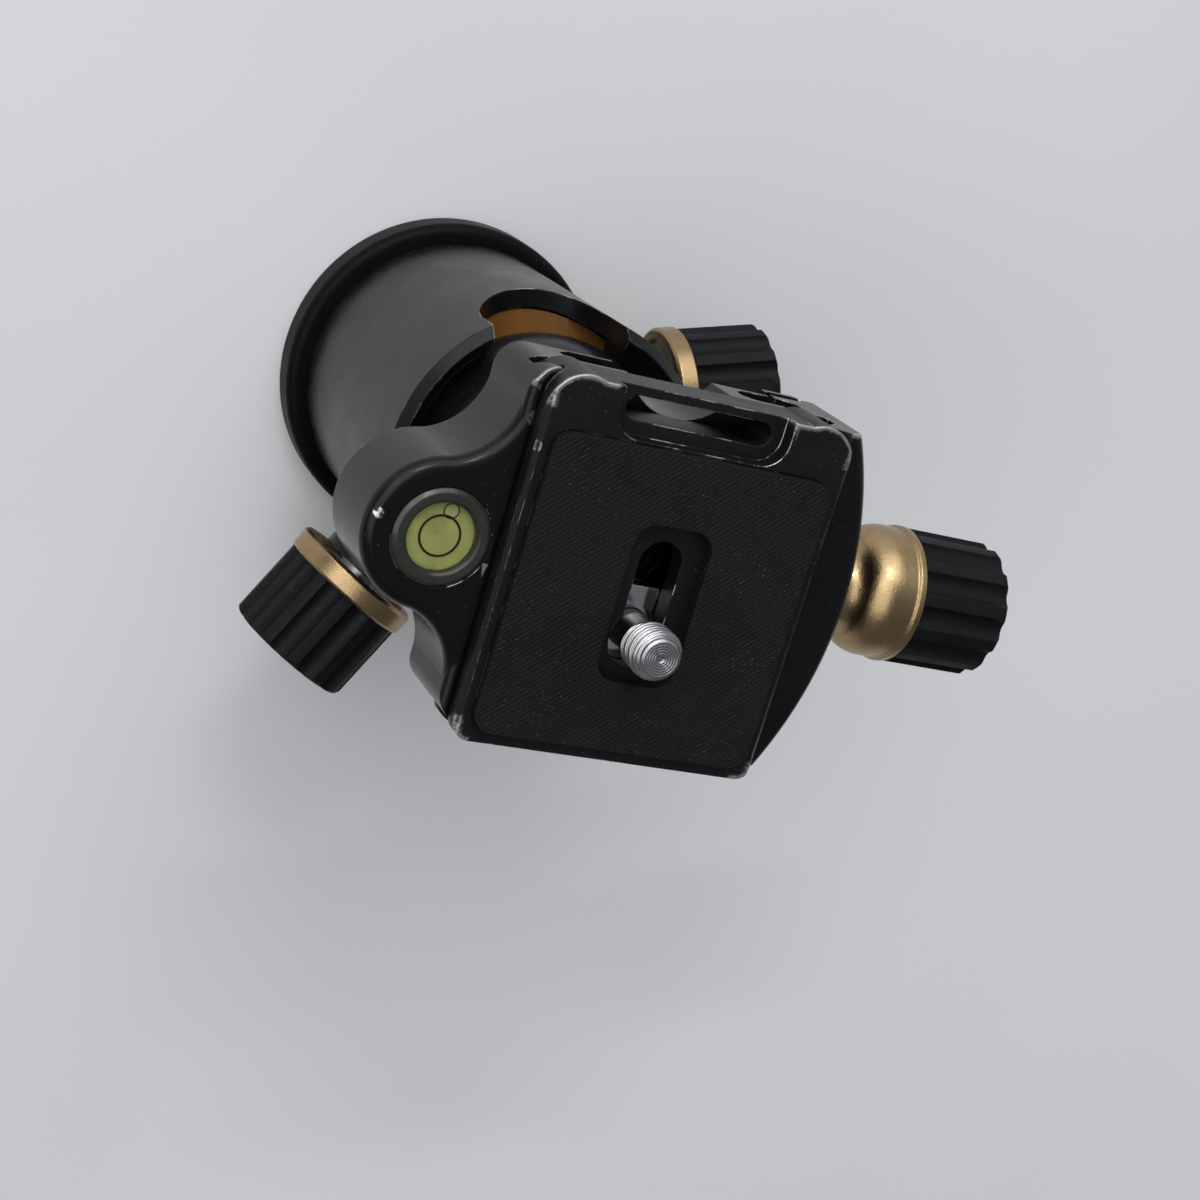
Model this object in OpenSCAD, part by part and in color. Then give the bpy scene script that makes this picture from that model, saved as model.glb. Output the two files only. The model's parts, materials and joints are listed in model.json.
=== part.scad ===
// Ball head for a camera support: panning base, ball housing, clamp and plate.
// Lengths are in millimetres. Z is the panning axis and the base stands on Z = 0.

/* [Panning base] */
// Radius of the base flange
base_r = 23.0; // [21:0.1:25]
// Height of the base flange
base_h = 5.4; // [4.5:0.1:6.2]
// Radius of the edge round on the flange
base_round = 1.4; // [0.5:0.1:2]
// Radius of the spindle that the housing turns on
spindle_r = 11.5; // [10:0.1:12]
// Height of the spindle above the flange
spindle_l = 15.4; // [15:0.1:15.5]
// Radius of the retaining washer on the spindle
washer_r = 13.9; // [13:0.1:14]
// Thickness of the retaining washer
washer_t = 1.5; // [1.2:0.1:1.8]
// Play between the retaining washer and the housing
axial_play = 0.2; // [0.1:0.05:0.3]
// Radius of the threaded bush in the base
bush_r = 7.0; // [6:0.1:8]
// Depth of the threaded bush
bush_h = 11.0; // [8:0.1:12]
// Tapping radius of the 3/8 inch thread
stud_thread_r = 3.97; // [3.9:0.01:4.1]

/* [Housing] */
// Radius of the housing at its foot
foot_r = 20.6; // [20:0.1:21.5]
// Radius of the housing below its rim
rim_r = 21.3; // [20.6:0.1:22.5]
// Height of the gap between flange and housing
foot_gap = 0.8; // [0.6:0.1:1.2]
// Height of the housing rim above the ball centre
rim_rise = 5.1; // [4.5:0.1:5.6]
// Bevel on the housing rim
rim_bevel = 1.2; // [0.8:0.1:1.4]
// Half width of the drop notch
notch_r = 8.95; // [8.4:0.05:9.6]
// Direction of the drop notch in degrees
notch_az = 101; // [95:1:106]
// Play between the ball and the bore that it lives in
bore_play = 1.6; // [1.3:0.1:1.8]
// Radius of the two knob bosses
boss_r = 6.1; // [5.5:0.1:6.6]
// Distance from the pan axis to the face of a knob boss
boss_reach = 26.2; // [25:0.1:27]

/* [Ball and stem] */
// Radius of the ball
ball_r = 17.0; // [16.6:0.1:17.2]
// Thickness of the cup under the ball
cup_web = 3.8; // [3.2:0.1:4.4]
// Radius of the stem neck
neck_r = 6.6; // [5.5:0.1:7.2]
// Radius of the stem platform under the clamp
platform_r = 11.0; // [9:0.1:12.5]
// Radius of the spigot that the ball turns on
spigot_r = 4.5; // [4.3:0.1:5]
// Depth of the flat where the stem meets the ball
ball_cap = 1.4; // [1.2:0.1:1.8]
// Height of the stem above the ball's flat
neck_l = 11.2; // [10.4:0.1:12]
// Clearance between the ball and its seats
seat_gap = 0.06; // [0.05:0.01:0.2]

/* [Main lock knob] */
// Direction of the main lock knob in degrees
main_az = 241.4; // [230:0.1:250]
// Depth of the main lock axis below the ball centre
main_drop = 17.8; // [17.6:0.1:18]
// Radius of the metal ring on both housing knobs
ring_r = 9.35; // [8.5:0.05:9.8]
// Width of the metal ring on both housing knobs
ring_w = 3.05; // [2.4:0.05:3.6]
// Radius of the main lock thread
main_stud_r = 3.0; // [2.6:0.1:3.2]
// Distance from the pan axis to the main ring
main_ring_at = 26.75; // [26.6:0.05:27.6]
// Length of the main grip
main_grip_l = 11.6; // [9:0.1:15]

/* [Pan lock knob] */
// Direction of the pan lock knob in degrees
pan_az = 15.5; // [5:0.1:25]
// Depth of the pan lock axis below the spindle's top
pan_drop = 3.4; // [3.2:0.1:3.6]
// Radius of the pan lock thread
pan_stud_r = 2.5; // [2.2:0.1:2.6]
// Distance from the pan axis to the pan ring
pan_ring_at = 28.0; // [26.6:0.05:28.6]
// Length of the pan grip
pan_grip_l = 12.6; // [9:0.1:15]

/* [Grips] */
// Outer radius of the grips
grip_r = 9.0; // [8.4:0.05:9.2]
// Number of lobes round a grip
grip_lobes = 12; // [10:1:14]
// Depth of the flutes between the lobes
flute_d = 1.0; // [0.5:0.05:1.2]
// Radius of the flutes
flute_r = 1.8; // [1.2:0.1:2.2]
// Radius of the round on the outer end of a grip
grip_round = 1.0; // [0.3:0.1:1.2]

/* [Clamp] */
// Depth of the clamp floor below the pad top
floor_d = 9.5; // [9.4:0.1:10]
// Depth of the clamp underside below the pad top
clamp_d = 19.9; // [19.4:0.1:20.4]
// Depth of the jaw tops below the pad top
jaw_d = 3.5; // [3.5:0.1:4]
// Depth of the outer walls of the clamp below the pad top
wall_d = 15.9; // [15:0.1:17]
// Half length of the clamp along the dovetail
clamp_half = 20.8; // [19.5:0.1:21.5]
// Radius of the upright corners of the fixed jaw
corner_r = 3.2; // [2:0.1:3.6]
// Thickness of the fixed jaw behind the plate
fixed_t = 1.4; // [1.2:0.1:2.4]
// Length of the moving jaw's tongue under the plate
tongue_l = 5.1; // [4.6:0.1:5.8]
// Radius of the swell that holds the level
swell_r = 8.9; // [8.2:0.1:9.5]
// Radius of the hollow flanks beside the swell
flank_r = 8.5; // [7:0.1:9.5]
// Radius of the edge rounds on the jaws
jaw_round = 1.4; // [0.8:0.1:1.6]
// Radius of the waist cut in each end of the clamp floor
waist_r = 7.5; // [6:0.1:8.5]
// Thickness of the moving jaw at its bulge
jaw_t = 7.1; // [6.4:0.1:8]
// Radius of the long curve on the moving jaw
jaw_curve = 46; // [40:1:60]
// Depth of the clamp screw axis below the pad top
lead_d = 15.6; // [15.2:0.1:16]
// Radius of the clamp screw
lead_r = 2.5; // [2.2:0.05:2.5]
// Radius of the two guide pins
pin_r = 2.0; // [1.5:0.05:2.2]
// Half distance between the two guide pins
pin_half = 13.0; // [11:0.1:14]
// Radius of the rim on the clamp knob hub
hub_r = 8.5; // [8:0.05:9]
// Radius of the neck on the clamp knob hub
hub_neck_r = 4.7; // [4.2:0.1:5.4]
// Length of the clamp knob hub
hub_l = 12.5; // [11.4:0.1:13.6]
// Radius of the dome on the clamp knob hub
dome_r = 4.6; // [4:0.1:5.2]
// Radius of the hollow between the dome and the neck
hollow_r = 3.0; // [2:0.1:3.4]
// Length of the clamp grip
clamp_grip_l = 12.2; // [9:0.1:15]

/* [Level] */
// Distance from the back of the fixed jaw to the level
level_out = 5.15; // [4.7:0.05:5.6]
// Radius of the level cup
level_r = 5.7; // [5:0.05:6]
// Radius of the liquid in the level
liquid_r = 4.0; // [3.5:0.05:4.3]
// Radius of the black target circle
target_r = 2.45; // [1.8:0.05:2.8]

/* [Plate] */
// Half width of the plate
plate_half = 19.0; // [18.8:0.05:19.2]
// Shift of the plate's centre from the stem axis, towards the fixed jaw
plate_shift = 1.4; // [0.8:0.1:1.8]
// Distance from the centre to the square end of the plate
plate_back = 21.8; // [20.5:0.1:23]
// Distance from the centre to the tip of the ears
plate_front = 21.4; // [21:0.1:22]
// Depth of the plate underside below the pad top
plate_d = 9.2; // [8.9:0.05:9.2]
// Width of the strap pocket between the ears
pocket_w = 21.3; // [19:0.1:21.8]
// Depth of the floor of the strap pocket below the plate top
pocket_d = 2.2; // [1:0.1:2.4]
// Length of the strap slot
strap_l = 18.3; // [15:0.1:18.8]
// Width of the strap slot
strap_w = 2.8; // [2:0.1:3.2]
// Width of the metal border beside the rubber pad
pad_border = 1.6; // [1.3:0.1:2.6]
// Length of the rubber pad
pad_l = 35.5; // [33:0.1:36]
// Thickness of the rubber pad
pad_t = 1.2; // [0.8:0.1:1.5]
// Shift of the pad centre along the dovetail
pad_y = -2.6; // [-3:0.1:-2.2]
// Width of the window in the pad
window_w = 9.7; // [9:0.1:11]
// Length of the window in the pad
window_l = 18.8; // [17:0.1:21]

/* [Camera screw] */
// Radius of the 1/4 inch thread
screw_r = 3.175; // [3.1:0.005:3.2]
// Height of the screw tip above the pad top
screw_out = 5.1; // [4.6:0.1:5.4]
// Pitch of the 1/4 inch thread
screw_pitch = 1.27; // [1.2:0.01:1.3]
// Radius of the screw neck that runs in the slot
screw_neck_r = 2.35; // [2:0.05:2.4]
// Radius of the screw head under the plate
flange_r = 5.6; // [5:0.1:5.8]
// Width of the sliding retainer under the plate
retainer_w = 6.4; // [6:0.1:6.8]
// Length of the sliding retainer under the plate
retainer_l = 10.2; // [9:0.1:11]
// Width of the slot in the plate
slot_w = 5.2; // [5:0.1:5.6]
// Shift of the screw along the dovetail
screw_y = -6.9; // [-7.3:0.1:-6.5]

/* [Hidden] */
eps = 0.01;
fit = 0.05;
run_gap = 0.06;
body_gap = 0.3;
foot_z = base_h + foot_gap;
spindle_top = base_h + spindle_l;
shoulder_z = spindle_top - axial_play;
washer_top = spindle_top + washer_t;
pan_screw_r = 2.5;
pan_head_r = 4.9;
pan_z = spindle_top - pan_drop;
cavity_z = washer_top + 1.0;
spring_t = 0.7;
cup_z = cavity_z + spring_t;
ball_z = cup_z + cup_web + ball_r;
ball_bore_r = ball_r + bore_play;
cup_top = ball_z - 7.6;
main_z = ball_z - main_drop;
rim_z = ball_z + rim_rise;
mouth_z = rim_z - 1.3;
ball_flat_z = ball_z + ball_r - ball_cap;
stem_top = ball_flat_z + neck_l;
clamp_z = stem_top;
pad_z = clamp_z + clamp_d;
floor_z = pad_z - floor_d;
jaw_top = pad_z - jaw_d;
wall_z = pad_z - wall_d;
plate_top = pad_z - pad_t + 0.2;
plate_z = pad_z - plate_d;
lead_z = pad_z - lead_d;
web_under = pad_z - 4.8;
channel_z = pad_z - 6.5;
fixed_in = plate_half + plate_shift;
moving_in = plate_half - plate_shift;
swell_in = fixed_in + 0.6;
fixed_out = fixed_in + fixed_t;
floor_end = moving_in - tongue_l;
jaw_out = moving_in + jaw_t;
jaw_low = clamp_z + 0.6;
hub_start = jaw_out + body_gap;
hub_end = hub_start + hub_l;
level_x = fixed_out + level_out;
pad_w = 2 * (plate_half - pad_border);
stop_x = 5 - fixed_in;
pocket_depth = 3.0;
pocket_h = 4.2;
pocket_z = floor_z - 3.7;
pocket_at = [[-10.9, 9.0], [11.6, 8.2]];
slide_out = 4.0;
slot_back = screw_y - 0.2;
slot_front = screw_y + 8.9;
stop_ys = [-11.2, 10.3];
blend = 0.05;
flank_x = -fixed_out - flank_r + blend;
flank_dx = -flank_x - level_x;
flank_y = sqrt(pow(swell_r + flank_r - blend, 2) - pow(flank_dx, 2));

// A ring between two radii and two heights.
module tube(outer, inner, low, high) {
  rotate_extrude($fn = 128)
    translate([inner, low])
      square([outer - inner, high - low]);
}

// A round rod along Z between two heights.
module rod(r, low, high) {
  translate([0, 0, low])
    cylinder(r = r, h = high - low, $fn = 96);
}

// Puts a child, drawn along +X from the pan axis, at a direction and a height.
module aim(az, z) {
  rotate([0, 0, az])
    translate([0, 0, z])
      rotate([0, 90, 0])
        children();
}

// A rectangle with round corners, centred.
module round_rect(w, l, r) {
  square([w - 2 * r, l], center = true);
  square([w, l - 2 * r], center = true);
  for (sx = [-1, 1], sy = [-1, 1])
    translate([sx * (w / 2 - r), sy * (l / 2 - r)])
      circle(r = r, $fn = 48);
}

// A slot with round ends along X, centred.
module long_slot(l, w) {
  square([l - w, w], center = true);
  for (s = [-1, 1])
    translate([s * (l - w) / 2, 0])
      circle(r = w / 2, $fn = 48);
}

// The plan of the drop notch, seen along its own direction: a round foot, open at the top.
module notch_shape(r) {
  circle(r = r, $fn = 96);
  translate([-30, -r])
    square([30, 2 * r]);
}

// The drop notch as a cutter that starts outside the ball.
module notch_cut(r) {
  aim(notch_az, ball_z)
    translate([0, 0, 13])
      linear_extrude(20)
        notch_shape(r);
}

// The plan of a fluted grip.
module grip_plan(r) {
  difference() {
    circle(r = r, $fn = 128);
    for (i = [0 : grip_lobes - 1])
      rotate(i * 360 / grip_lobes)
        translate([r + flute_r - flute_d, 0])
          circle(r = flute_r, $fn = 48);
  }
}

// A fluted grip along Z with a round outer end and a shallow dish in it.
module grip(l, bore) {
  intersection() {
    difference() {
      linear_extrude(l)
        grip_plan(grip_r);
      translate([0, 0, -1])
        cylinder(r = bore, h = l - 3, $fn = 64);
      translate([0, 0, l - 0.6])
        cylinder(r = grip_r - 3, h = 2, $fn = 96);
    }
    rotate_extrude($fn = 128)
      union() {
        square([grip_r + 0.1, l - grip_round]);
        square([grip_r + 0.1 - grip_round, l]);
        translate([grip_r + 0.1 - grip_round, l - grip_round])
          circle(r = grip_round, $fn = 64);
      }
  }
}

// A bevelled metal ring along Z.
module knob_ring(bore) {
  rotate_extrude($fn = 128)
    polygon([[bore, 0.5], [ring_r - 1.6, 0.5], [ring_r - 1.6, 0], [ring_r - 0.4, 0],
      [ring_r, 0.4], [ring_r, ring_w - 0.4], [ring_r - 0.4, ring_w], [bore, ring_w]]);
}

module base_flange() {
  color("#17181a")
  difference() {
    rotate_extrude($fn = 128)
      difference() {
        union() {
          square([base_r - base_round, base_h]);
          translate([0, 0.6])
            square([base_r, base_h - 0.6 - base_round]);
          translate([base_r - base_round, base_h - base_round])
            circle(r = base_round, $fn = 64);
          square([spindle_r, spindle_top]);
        }
        translate([spindle_r, pan_z])
          rotate(45)
            square([2.2, 2.2], center = true);
        translate([-1, -1])
          square([1, 40]);
        translate([spindle_r + 1.5, base_h - 0.5])
          square([6.5, 2]);
        translate([13.5, -eps])
          square([4.5, 0.6]);
      }
    rod(bush_r, -1, bush_h);
    rod(pan_screw_r + fit, 0, spindle_top + 1);
  }
}

module base_thread_bush() {
  color("#b9bbbe")
  difference() {
    rod(bush_r - fit, 0, bush_h);
    rod(stud_thread_r, -1, bush_h - 1.5);
  }
}

module pan_slip_ring() {
  color("#d8d4c8")
  tube(spindle_r + 7.9, spindle_r + 1.6, base_h - 0.5, foot_z - 0.1);
}

module pan_retaining_washer() {
  color("#a9abad")
  difference() {
    rod(washer_r, spindle_top, washer_top);
    rod(pan_screw_r + fit, 0, 40);
    translate([0, 0, washer_top - 0.9])
      cylinder(r1 = pan_screw_r + fit, r2 = pan_head_r + fit, h = 0.9, $fn = 96);
    rod(pan_head_r + fit, washer_top - eps, washer_top + 1);
  }
}

module pan_retaining_screw() {
  color("#8d8f92")
  difference() {
    union() {
      rod(pan_screw_r, bush_h + 0.1, washer_top);
      translate([0, 0, washer_top - 0.9])
        cylinder(r1 = pan_screw_r, r2 = pan_head_r, h = 0.9, $fn = 96);
      rod(pan_head_r + 0.4, washer_top, washer_top + 0.8);
    }
    translate([0, 0, washer_top - 0.6])
      cylinder(r = 1.7, h = 3, $fn = 6);
  }
}

module ball_housing() {
  color("#141517")
  difference() {
    union() {
      rotate_extrude($fn = 128)
        polygon([[9, foot_z], [foot_r - 0.6, foot_z], [foot_r, foot_z + 0.6],
          [rim_r, rim_z - rim_bevel], [rim_r - rim_bevel, rim_z], [ball_bore_r + 1.3, rim_z],
          [ball_bore_r, mouth_z], [9, mouth_z]]);
      aim(main_az, main_z)
        rod(boss_r, 15, boss_reach);
      aim(pan_az, pan_z)
        rod(boss_r, 15, boss_reach);
    }
    rod(spindle_r + run_gap, 0, shoulder_z + 1);
    rod(washer_r + body_gap, shoulder_z, cavity_z + 1);
    rod(ball_bore_r, cavity_z, mouth_z + 1);
    aim(main_az, main_z)
      rod(main_stud_r + run_gap, 0, 40);
    aim(pan_az, pan_z)
      rod(pan_stud_r + run_gap, 0, 40);
    notch_cut(notch_r);
  }
}

module lower_ball_cup() {
  color("#b8742a")
  difference() {
    rotate_extrude($fn = 128)
      difference() {
        translate([8, cup_z])
          square([ball_bore_r - body_gap - 8, cup_top - cup_z]);
        translate([ball_bore_r - body_gap, main_z])
          rotate(45)
            square([3.4, 3.4], center = true);
      }
    translate([0, 0, ball_z])
      sphere(r = ball_r + seat_gap, $fn = 128);
    notch_cut(notch_r + 0.4);
  }
}

module cup_spring_washer() {
  color("#9a9c9f")
  tube(ball_bore_r - 0.4, ball_bore_r - 3.2, cavity_z, cup_z);
}

module upper_ball_seat() {
  color("#1d1e20")
  difference() {
    rotate_extrude($fn = 128)
      polygon([[ball_r - 3, ball_z - 2.8], [ball_bore_r - fit, ball_z - 2.8],
        [ball_bore_r - fit, mouth_z], [ball_bore_r - fit - 1.7, mouth_z - 1.7],
        [ball_r - 3, mouth_z - 1.7]]);
    translate([0, 0, ball_z])
      sphere(r = ball_r + seat_gap, $fn = 128);
    notch_cut(notch_r + 0.4);
  }
}

module main_lock_plunger() {
  color("#a9abad")
  aim(main_az, main_z)
    rotate_extrude($fn = 96)
      polygon([[0, ball_bore_r - 2], [0.4, ball_bore_r - 2], [1.6, ball_bore_r - 0.8],
        [1.6, ball_bore_r + 0.2], [main_stud_r, ball_bore_r + 0.2],
        [main_stud_r, ball_bore_r + 2.4], [0, ball_bore_r + 2.4]]);
}

module main_lock_stud() {
  color("#8d8f92")
  aim(main_az, main_z)
    rod(main_stud_r, ball_bore_r + 3.4, main_ring_at + ring_w + 6);
}

module main_knob_ring() {
  color("#c9ad7e")
  aim(main_az, main_z)
    translate([0, 0, main_ring_at])
      knob_ring(main_stud_r);
}

module main_knob_grip() {
  color("#1c1c1e")
  aim(main_az, main_z)
    translate([0, 0, main_ring_at + ring_w])
      grip(main_grip_l, main_stud_r);
}

module pan_lock_plunger() {
  color("#c7b27c")
  aim(pan_az, pan_z)
    rotate_extrude($fn = 96)
      polygon([[0, 10.8], [0.4, 10.8], [pan_stud_r - 0.3, 12.6], [pan_stud_r, 12.8],
        [pan_stud_r, 16.4], [0, 16.4]]);
}

module pan_lock_stud() {
  color("#8d8f92")
  aim(pan_az, pan_z)
    rod(pan_stud_r, 17.4, pan_ring_at + ring_w + 6);
}

module pan_knob_ring() {
  color("#c9ad7e")
  aim(pan_az, pan_z)
    translate([0, 0, pan_ring_at])
      knob_ring(pan_stud_r);
}

module pan_knob_grip() {
  color("#1c1c1e")
  aim(pan_az, pan_z)
    translate([0, 0, pan_ring_at + ring_w])
      grip(pan_grip_l, pan_stud_r);
}

module ball() {
  color("#17181a")
  difference() {
    translate([0, 0, ball_z])
      sphere(r = ball_r, $fn = 128);
    rod(ball_r, ball_flat_z, ball_flat_z + 10);
    rod(spigot_r + run_gap, ball_z + 4, ball_flat_z + 1);
    rod(3.2, ball_z - ball_r - 1, ball_z - ball_r + 3);
  }
}

module stem() {
  base = ball_flat_z + 0.1;
  color("#1b1c1e")
  difference() {
    rotate_extrude($fn = 128)
      difference() {
        union() {
          translate([0, ball_z + 4.5])
            square([spigot_r, base - ball_z - 4]);
          translate([0, base])
            square([neck_r, stem_top - base]);
          translate([0, stem_top - 5])
            square([platform_r, 5]);
        }
        translate([neck_r + 4, stem_top - 5])
          circle(r = 4, $fn = 96);
        translate([neck_r + 4, stem_top - 5.2])
          square([10, 4.2]);
      }
    rod(3, stem_top - 13, stem_top + 1);
  }
}

// The section of the fixed jaw in X and Z, from its back to the hooked nose over the dovetail.
module fixed_jaw_section() {
  nose = fixed_in - 2.1;
  top_round = min(jaw_round, fixed_t - 0.5);
  mirror([1, 0]) {
    polygon([[fixed_in + 0.4, jaw_top], [nose, pad_z - 4.8], [nose, pad_z - 5.3],
      [fixed_in + 0.2, pad_z - 7.6], [fixed_in + 0.2, wall_z], [fixed_out, wall_z],
      [fixed_out, jaw_top - top_round], [fixed_out - top_round, jaw_top]]);
    translate([fixed_out - top_round, jaw_top - top_round])
      intersection() {
        circle(r = top_round, $fn = 64);
        square(top_round);
      }
  }
}

// Draws a section that lies in X and Z as a bar along Y.
module bar_along_y(half) {
  translate([0, half, 0])
    rotate([90, 0, 0])
      linear_extrude(2 * half)
        children();
}

// The swell round the level, with a round top edge, cut off inside the fixed jaw.
module level_swell() {
  intersection() {
    translate([-level_x, 0, 0])
      rotate_extrude($fn = 128)
        union() {
          translate([0, wall_z])
            square([swell_r, jaw_top - jaw_round - wall_z]);
          translate([0, wall_z])
            square([swell_r - jaw_round, jaw_top - wall_z]);
          translate([swell_r - jaw_round, jaw_top - jaw_round])
            intersection() {
              circle(r = jaw_round, $fn = 64);
              square([jaw_round, jaw_round]);
            }
        }
    translate([-level_x - swell_r - 1, -swell_r - 1, wall_z])
      cube([level_x + swell_r + 1 - swell_in, 2 * swell_r + 2, clamp_d]);
  }
}

// The relief pockets in the ends of the clamp floor and of the moving jaw.
module end_pockets() {
  for (pocket = pocket_at, side = [-1, 1])
    translate([pocket[0], side * clamp_half, pocket_z])
      rotate([90, 0, 0])
        translate([0, 0, -pocket_depth])
          linear_extrude(2 * pocket_depth)
            long_slot(pocket[1], pocket_h);
}

// A hollow flank as a cutter, with the matching round at its top edge.
module flank_cut(side) {
  translate([flank_x, side * flank_y, 0])
    rotate_extrude($fn = 128)
      difference() {
        translate([0, wall_z - 1])
          square([flank_r + jaw_round, jaw_top - wall_z + 2]);
        translate([flank_r, wall_z - 2])
          square([jaw_round + 1, jaw_top - jaw_round - wall_z + 2]);
        translate([flank_r + jaw_round, jaw_top - jaw_round])
          circle(r = jaw_round, $fn = 64);
      }
}

// The plan of the clamp floor, with a waist at each end.
module floor_plan() {
  difference() {
    translate([-fixed_out + 0.8, -clamp_half])
      square([fixed_out - 0.8 + floor_end, 2 * clamp_half]);
    for (side = [-1, 1])
      translate([-1.5, side * (clamp_half + 3.6)])
        circle(r = waist_r, $fn = 96);
  }
}

// What rounds an upright corner of the fixed jaw.
module corner_cut(side) {
  translate([corner_r - fixed_out, side * (clamp_half - corner_r), clamp_z - 1])
    linear_extrude(clamp_d)
      difference() {
        translate([-2 * corner_r, side > 0 ? 0 : -2 * corner_r])
          square(2 * corner_r);
        circle(r = corner_r, $fn = 96);
      }
}

module clamp_body() {
  join = swell_r / (swell_r + flank_r);
  tangent = [-level_x - flank_dx * join, flank_y * join];
  color("#151618")
  difference() {
    union() {
      bar_along_y(clamp_half)
        fixed_jaw_section();
      difference() {
        translate([0, 0, wall_z])
          linear_extrude(jaw_top - wall_z)
            polygon([[-swell_in, flank_y], [-fixed_out, flank_y], tangent, [-level_x, 0],
              [tangent[0], -tangent[1]], [-fixed_out, -flank_y], [-swell_in, -flank_y]]);
        flank_cut(1);
        flank_cut(-1);
      }
      level_swell();
      translate([0, 0, wall_z])
        linear_extrude(floor_z - wall_z)
          floor_plan();
      translate([0, 0, clamp_z])
        linear_extrude(wall_z - clamp_z)
          intersection() {
            circle(r = 18.5, $fn = 128);
            translate([-19, -19])
              square([19 + floor_end, 38]);
            floor_plan();
          }
    }
    translate([-level_x, 0, 0])
      rod(level_r + fit, jaw_top - 5.4, pad_z + 1);
    rod(4.9, floor_z - 3, floor_z + 1);
    rod(3.2, clamp_z - 1, floor_z);
    translate([0, 0, lead_z])
      rotate([0, 90, 0])
        rod(lead_r + run_gap, 5.5, 30);
    for (y = stop_ys)
      translate([stop_x, y, floor_z - 1.4])
        linear_extrude(3)
          rotate(90)
            long_slot(2 * (slide_out + 2.1), 4.2);
    for (side = [-1, 1])
      translate([0, side * pin_half, lead_z])
        rotate([0, 90, 0])
          rod(pin_r + eps, 0, 30);
    for (side = [-1, 1])
      corner_cut(side);
    end_pockets();
  }
}

module stem_screw() {
  color("#8d8f92")
  difference() {
    union() {
      rod(3, stem_top - 12.5, floor_z - 2.9);
      rod(4.6, floor_z - 3, floor_z - 0.3);
    }
    translate([0, 0, floor_z - 2.2])
      cylinder(r = 2.3, h = 4, $fn = 6);
  }
}

module guide_pins() {
  color("#a9abad")
  for (side = [-1, 1])
    translate([0, side * pin_half, lead_z])
      rotate([0, 90, 0])
        rod(pin_r, 0.1, floor_end + 6.9);
}

module moving_jaw() {
  color("#151618")
  difference() {
    intersection() {
      bar_along_y(clamp_half)
        polygon([[moving_in + 0.4, jaw_top], [moving_in - 2.1, pad_z - 4.8],
          [moving_in - 2.1, pad_z - 5.3], [moving_in + 0.2, pad_z - 7.6],
          [moving_in + 0.2, floor_z],
          [floor_end + body_gap + 0.7, floor_z], [floor_end + body_gap + 0.7, jaw_low],
          [jaw_out + 3, jaw_low], [jaw_out + 3, jaw_top]]);
      translate([jaw_out - jaw_curve, 0, 0])
        rotate_extrude($fn = 256)
          union() {
            translate([10, jaw_low])
              square([jaw_curve - 10 - 1.6, jaw_top - jaw_low]);
            translate([10, jaw_low + 1.6])
              square([jaw_curve - 10, jaw_top - jaw_low - 1.6 - jaw_round]);
            translate([10, jaw_low + 1.6])
              square([jaw_curve - 10 - jaw_round, jaw_top - jaw_low - 1.6]);
            translate([jaw_curve - jaw_round, jaw_top - jaw_round])
              circle(r = jaw_round, $fn = 64);
          }
    }
    translate([0, 0, lead_z])
      rotate([0, 90, 0])
        rod(lead_r + body_gap, 0, 40);
    for (side = [-1, 1])
      translate([0, side * pin_half, lead_z])
        rotate([0, 90, 0])
          rod(pin_r + run_gap, 10, floor_end + 7.9);
    end_pockets();
    for (side = [-1, 1])
      translate([floor_end + 3.3, side * clamp_half, jaw_low + 1.8])
        rotate([90, 0, 0])
          translate([0, 0, -pocket_depth])
            linear_extrude(2 * pocket_depth)
              long_slot(4.8, 1.8);
  }
}

module clamp_lead_screw() {
  color("#8d8f92")
  translate([0, 0, lead_z])
    rotate([0, 90, 0])
      rod(lead_r, 6, hub_end + 6);
}

module clamp_knob_hub() {
  dome = [hub_r - 0.3 - dome_r, hub_end - 3.2];
  hollow_at = hub_neck_r + hollow_r;
  reach = dome_r + hollow_r - blend;
  hollow = [hollow_at, dome[1] - sqrt(pow(reach, 2) - pow(hollow_at - dome[0], 2))];
  color("#c9ad7e")
  translate([0, 0, lead_z])
    rotate([0, 90, 0])
      rotate_extrude($fn = 128)
        difference() {
          union() {
            polygon([[lead_r, hub_start], [hub_neck_r, hub_start], [hub_neck_r, hollow[1]],
              hollow, dome, [lead_r, dome[1]]]);
            polygon([[lead_r, dome[1] - eps], [hub_r - 0.3, dome[1] - eps],
              [hub_r - 0.3, hub_end - 1.3], [hub_r, hub_end - 1], [hub_r, hub_end - 0.3],
              [hub_r - 0.3, hub_end], [lead_r, hub_end]]);
            translate(dome)
              circle(r = dome_r, $fn = 128);
          }
          translate(hollow)
            circle(r = hollow_r, $fn = 128);
          translate([-20, 0])
            square([20 + lead_r, 60]);
          translate([0, hub_end])
            square([20, 20]);
        }
}

module clamp_knob_grip() {
  color("#1c1c1e")
  translate([0, 0, lead_z])
    rotate([0, 90, 0])
      translate([0, 0, hub_end])
        scale(0.93)
          grip(clamp_grip_l / 0.93, lead_r / 0.93);
}

module level_cup() {
  color("#5f6468")
  translate([-level_x, 0, 0])
    difference() {
      rotate_extrude($fn = 128)
        polygon([[0, jaw_top - 5.4], [level_r, jaw_top - 5.4], [level_r, jaw_top - 0.1],
          [level_r - 0.5, jaw_top + 0.3], [liquid_r + 0.3, jaw_top + 0.3],
          [liquid_r, jaw_top], [0, jaw_top]]);
      rod(liquid_r, jaw_top - 4.2, jaw_top + 1);
    }
}

module level_liquid() {
  color("#b7bf4a")
  translate([-level_x, 0, 0])
    difference() {
      rod(liquid_r, jaw_top - 4.2, jaw_top - 0.8);
      translate([0.6, 2.95, jaw_top - 1.1])
        cylinder(r = 0.95, h = 1, $fn = 64);
    }
}

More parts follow.
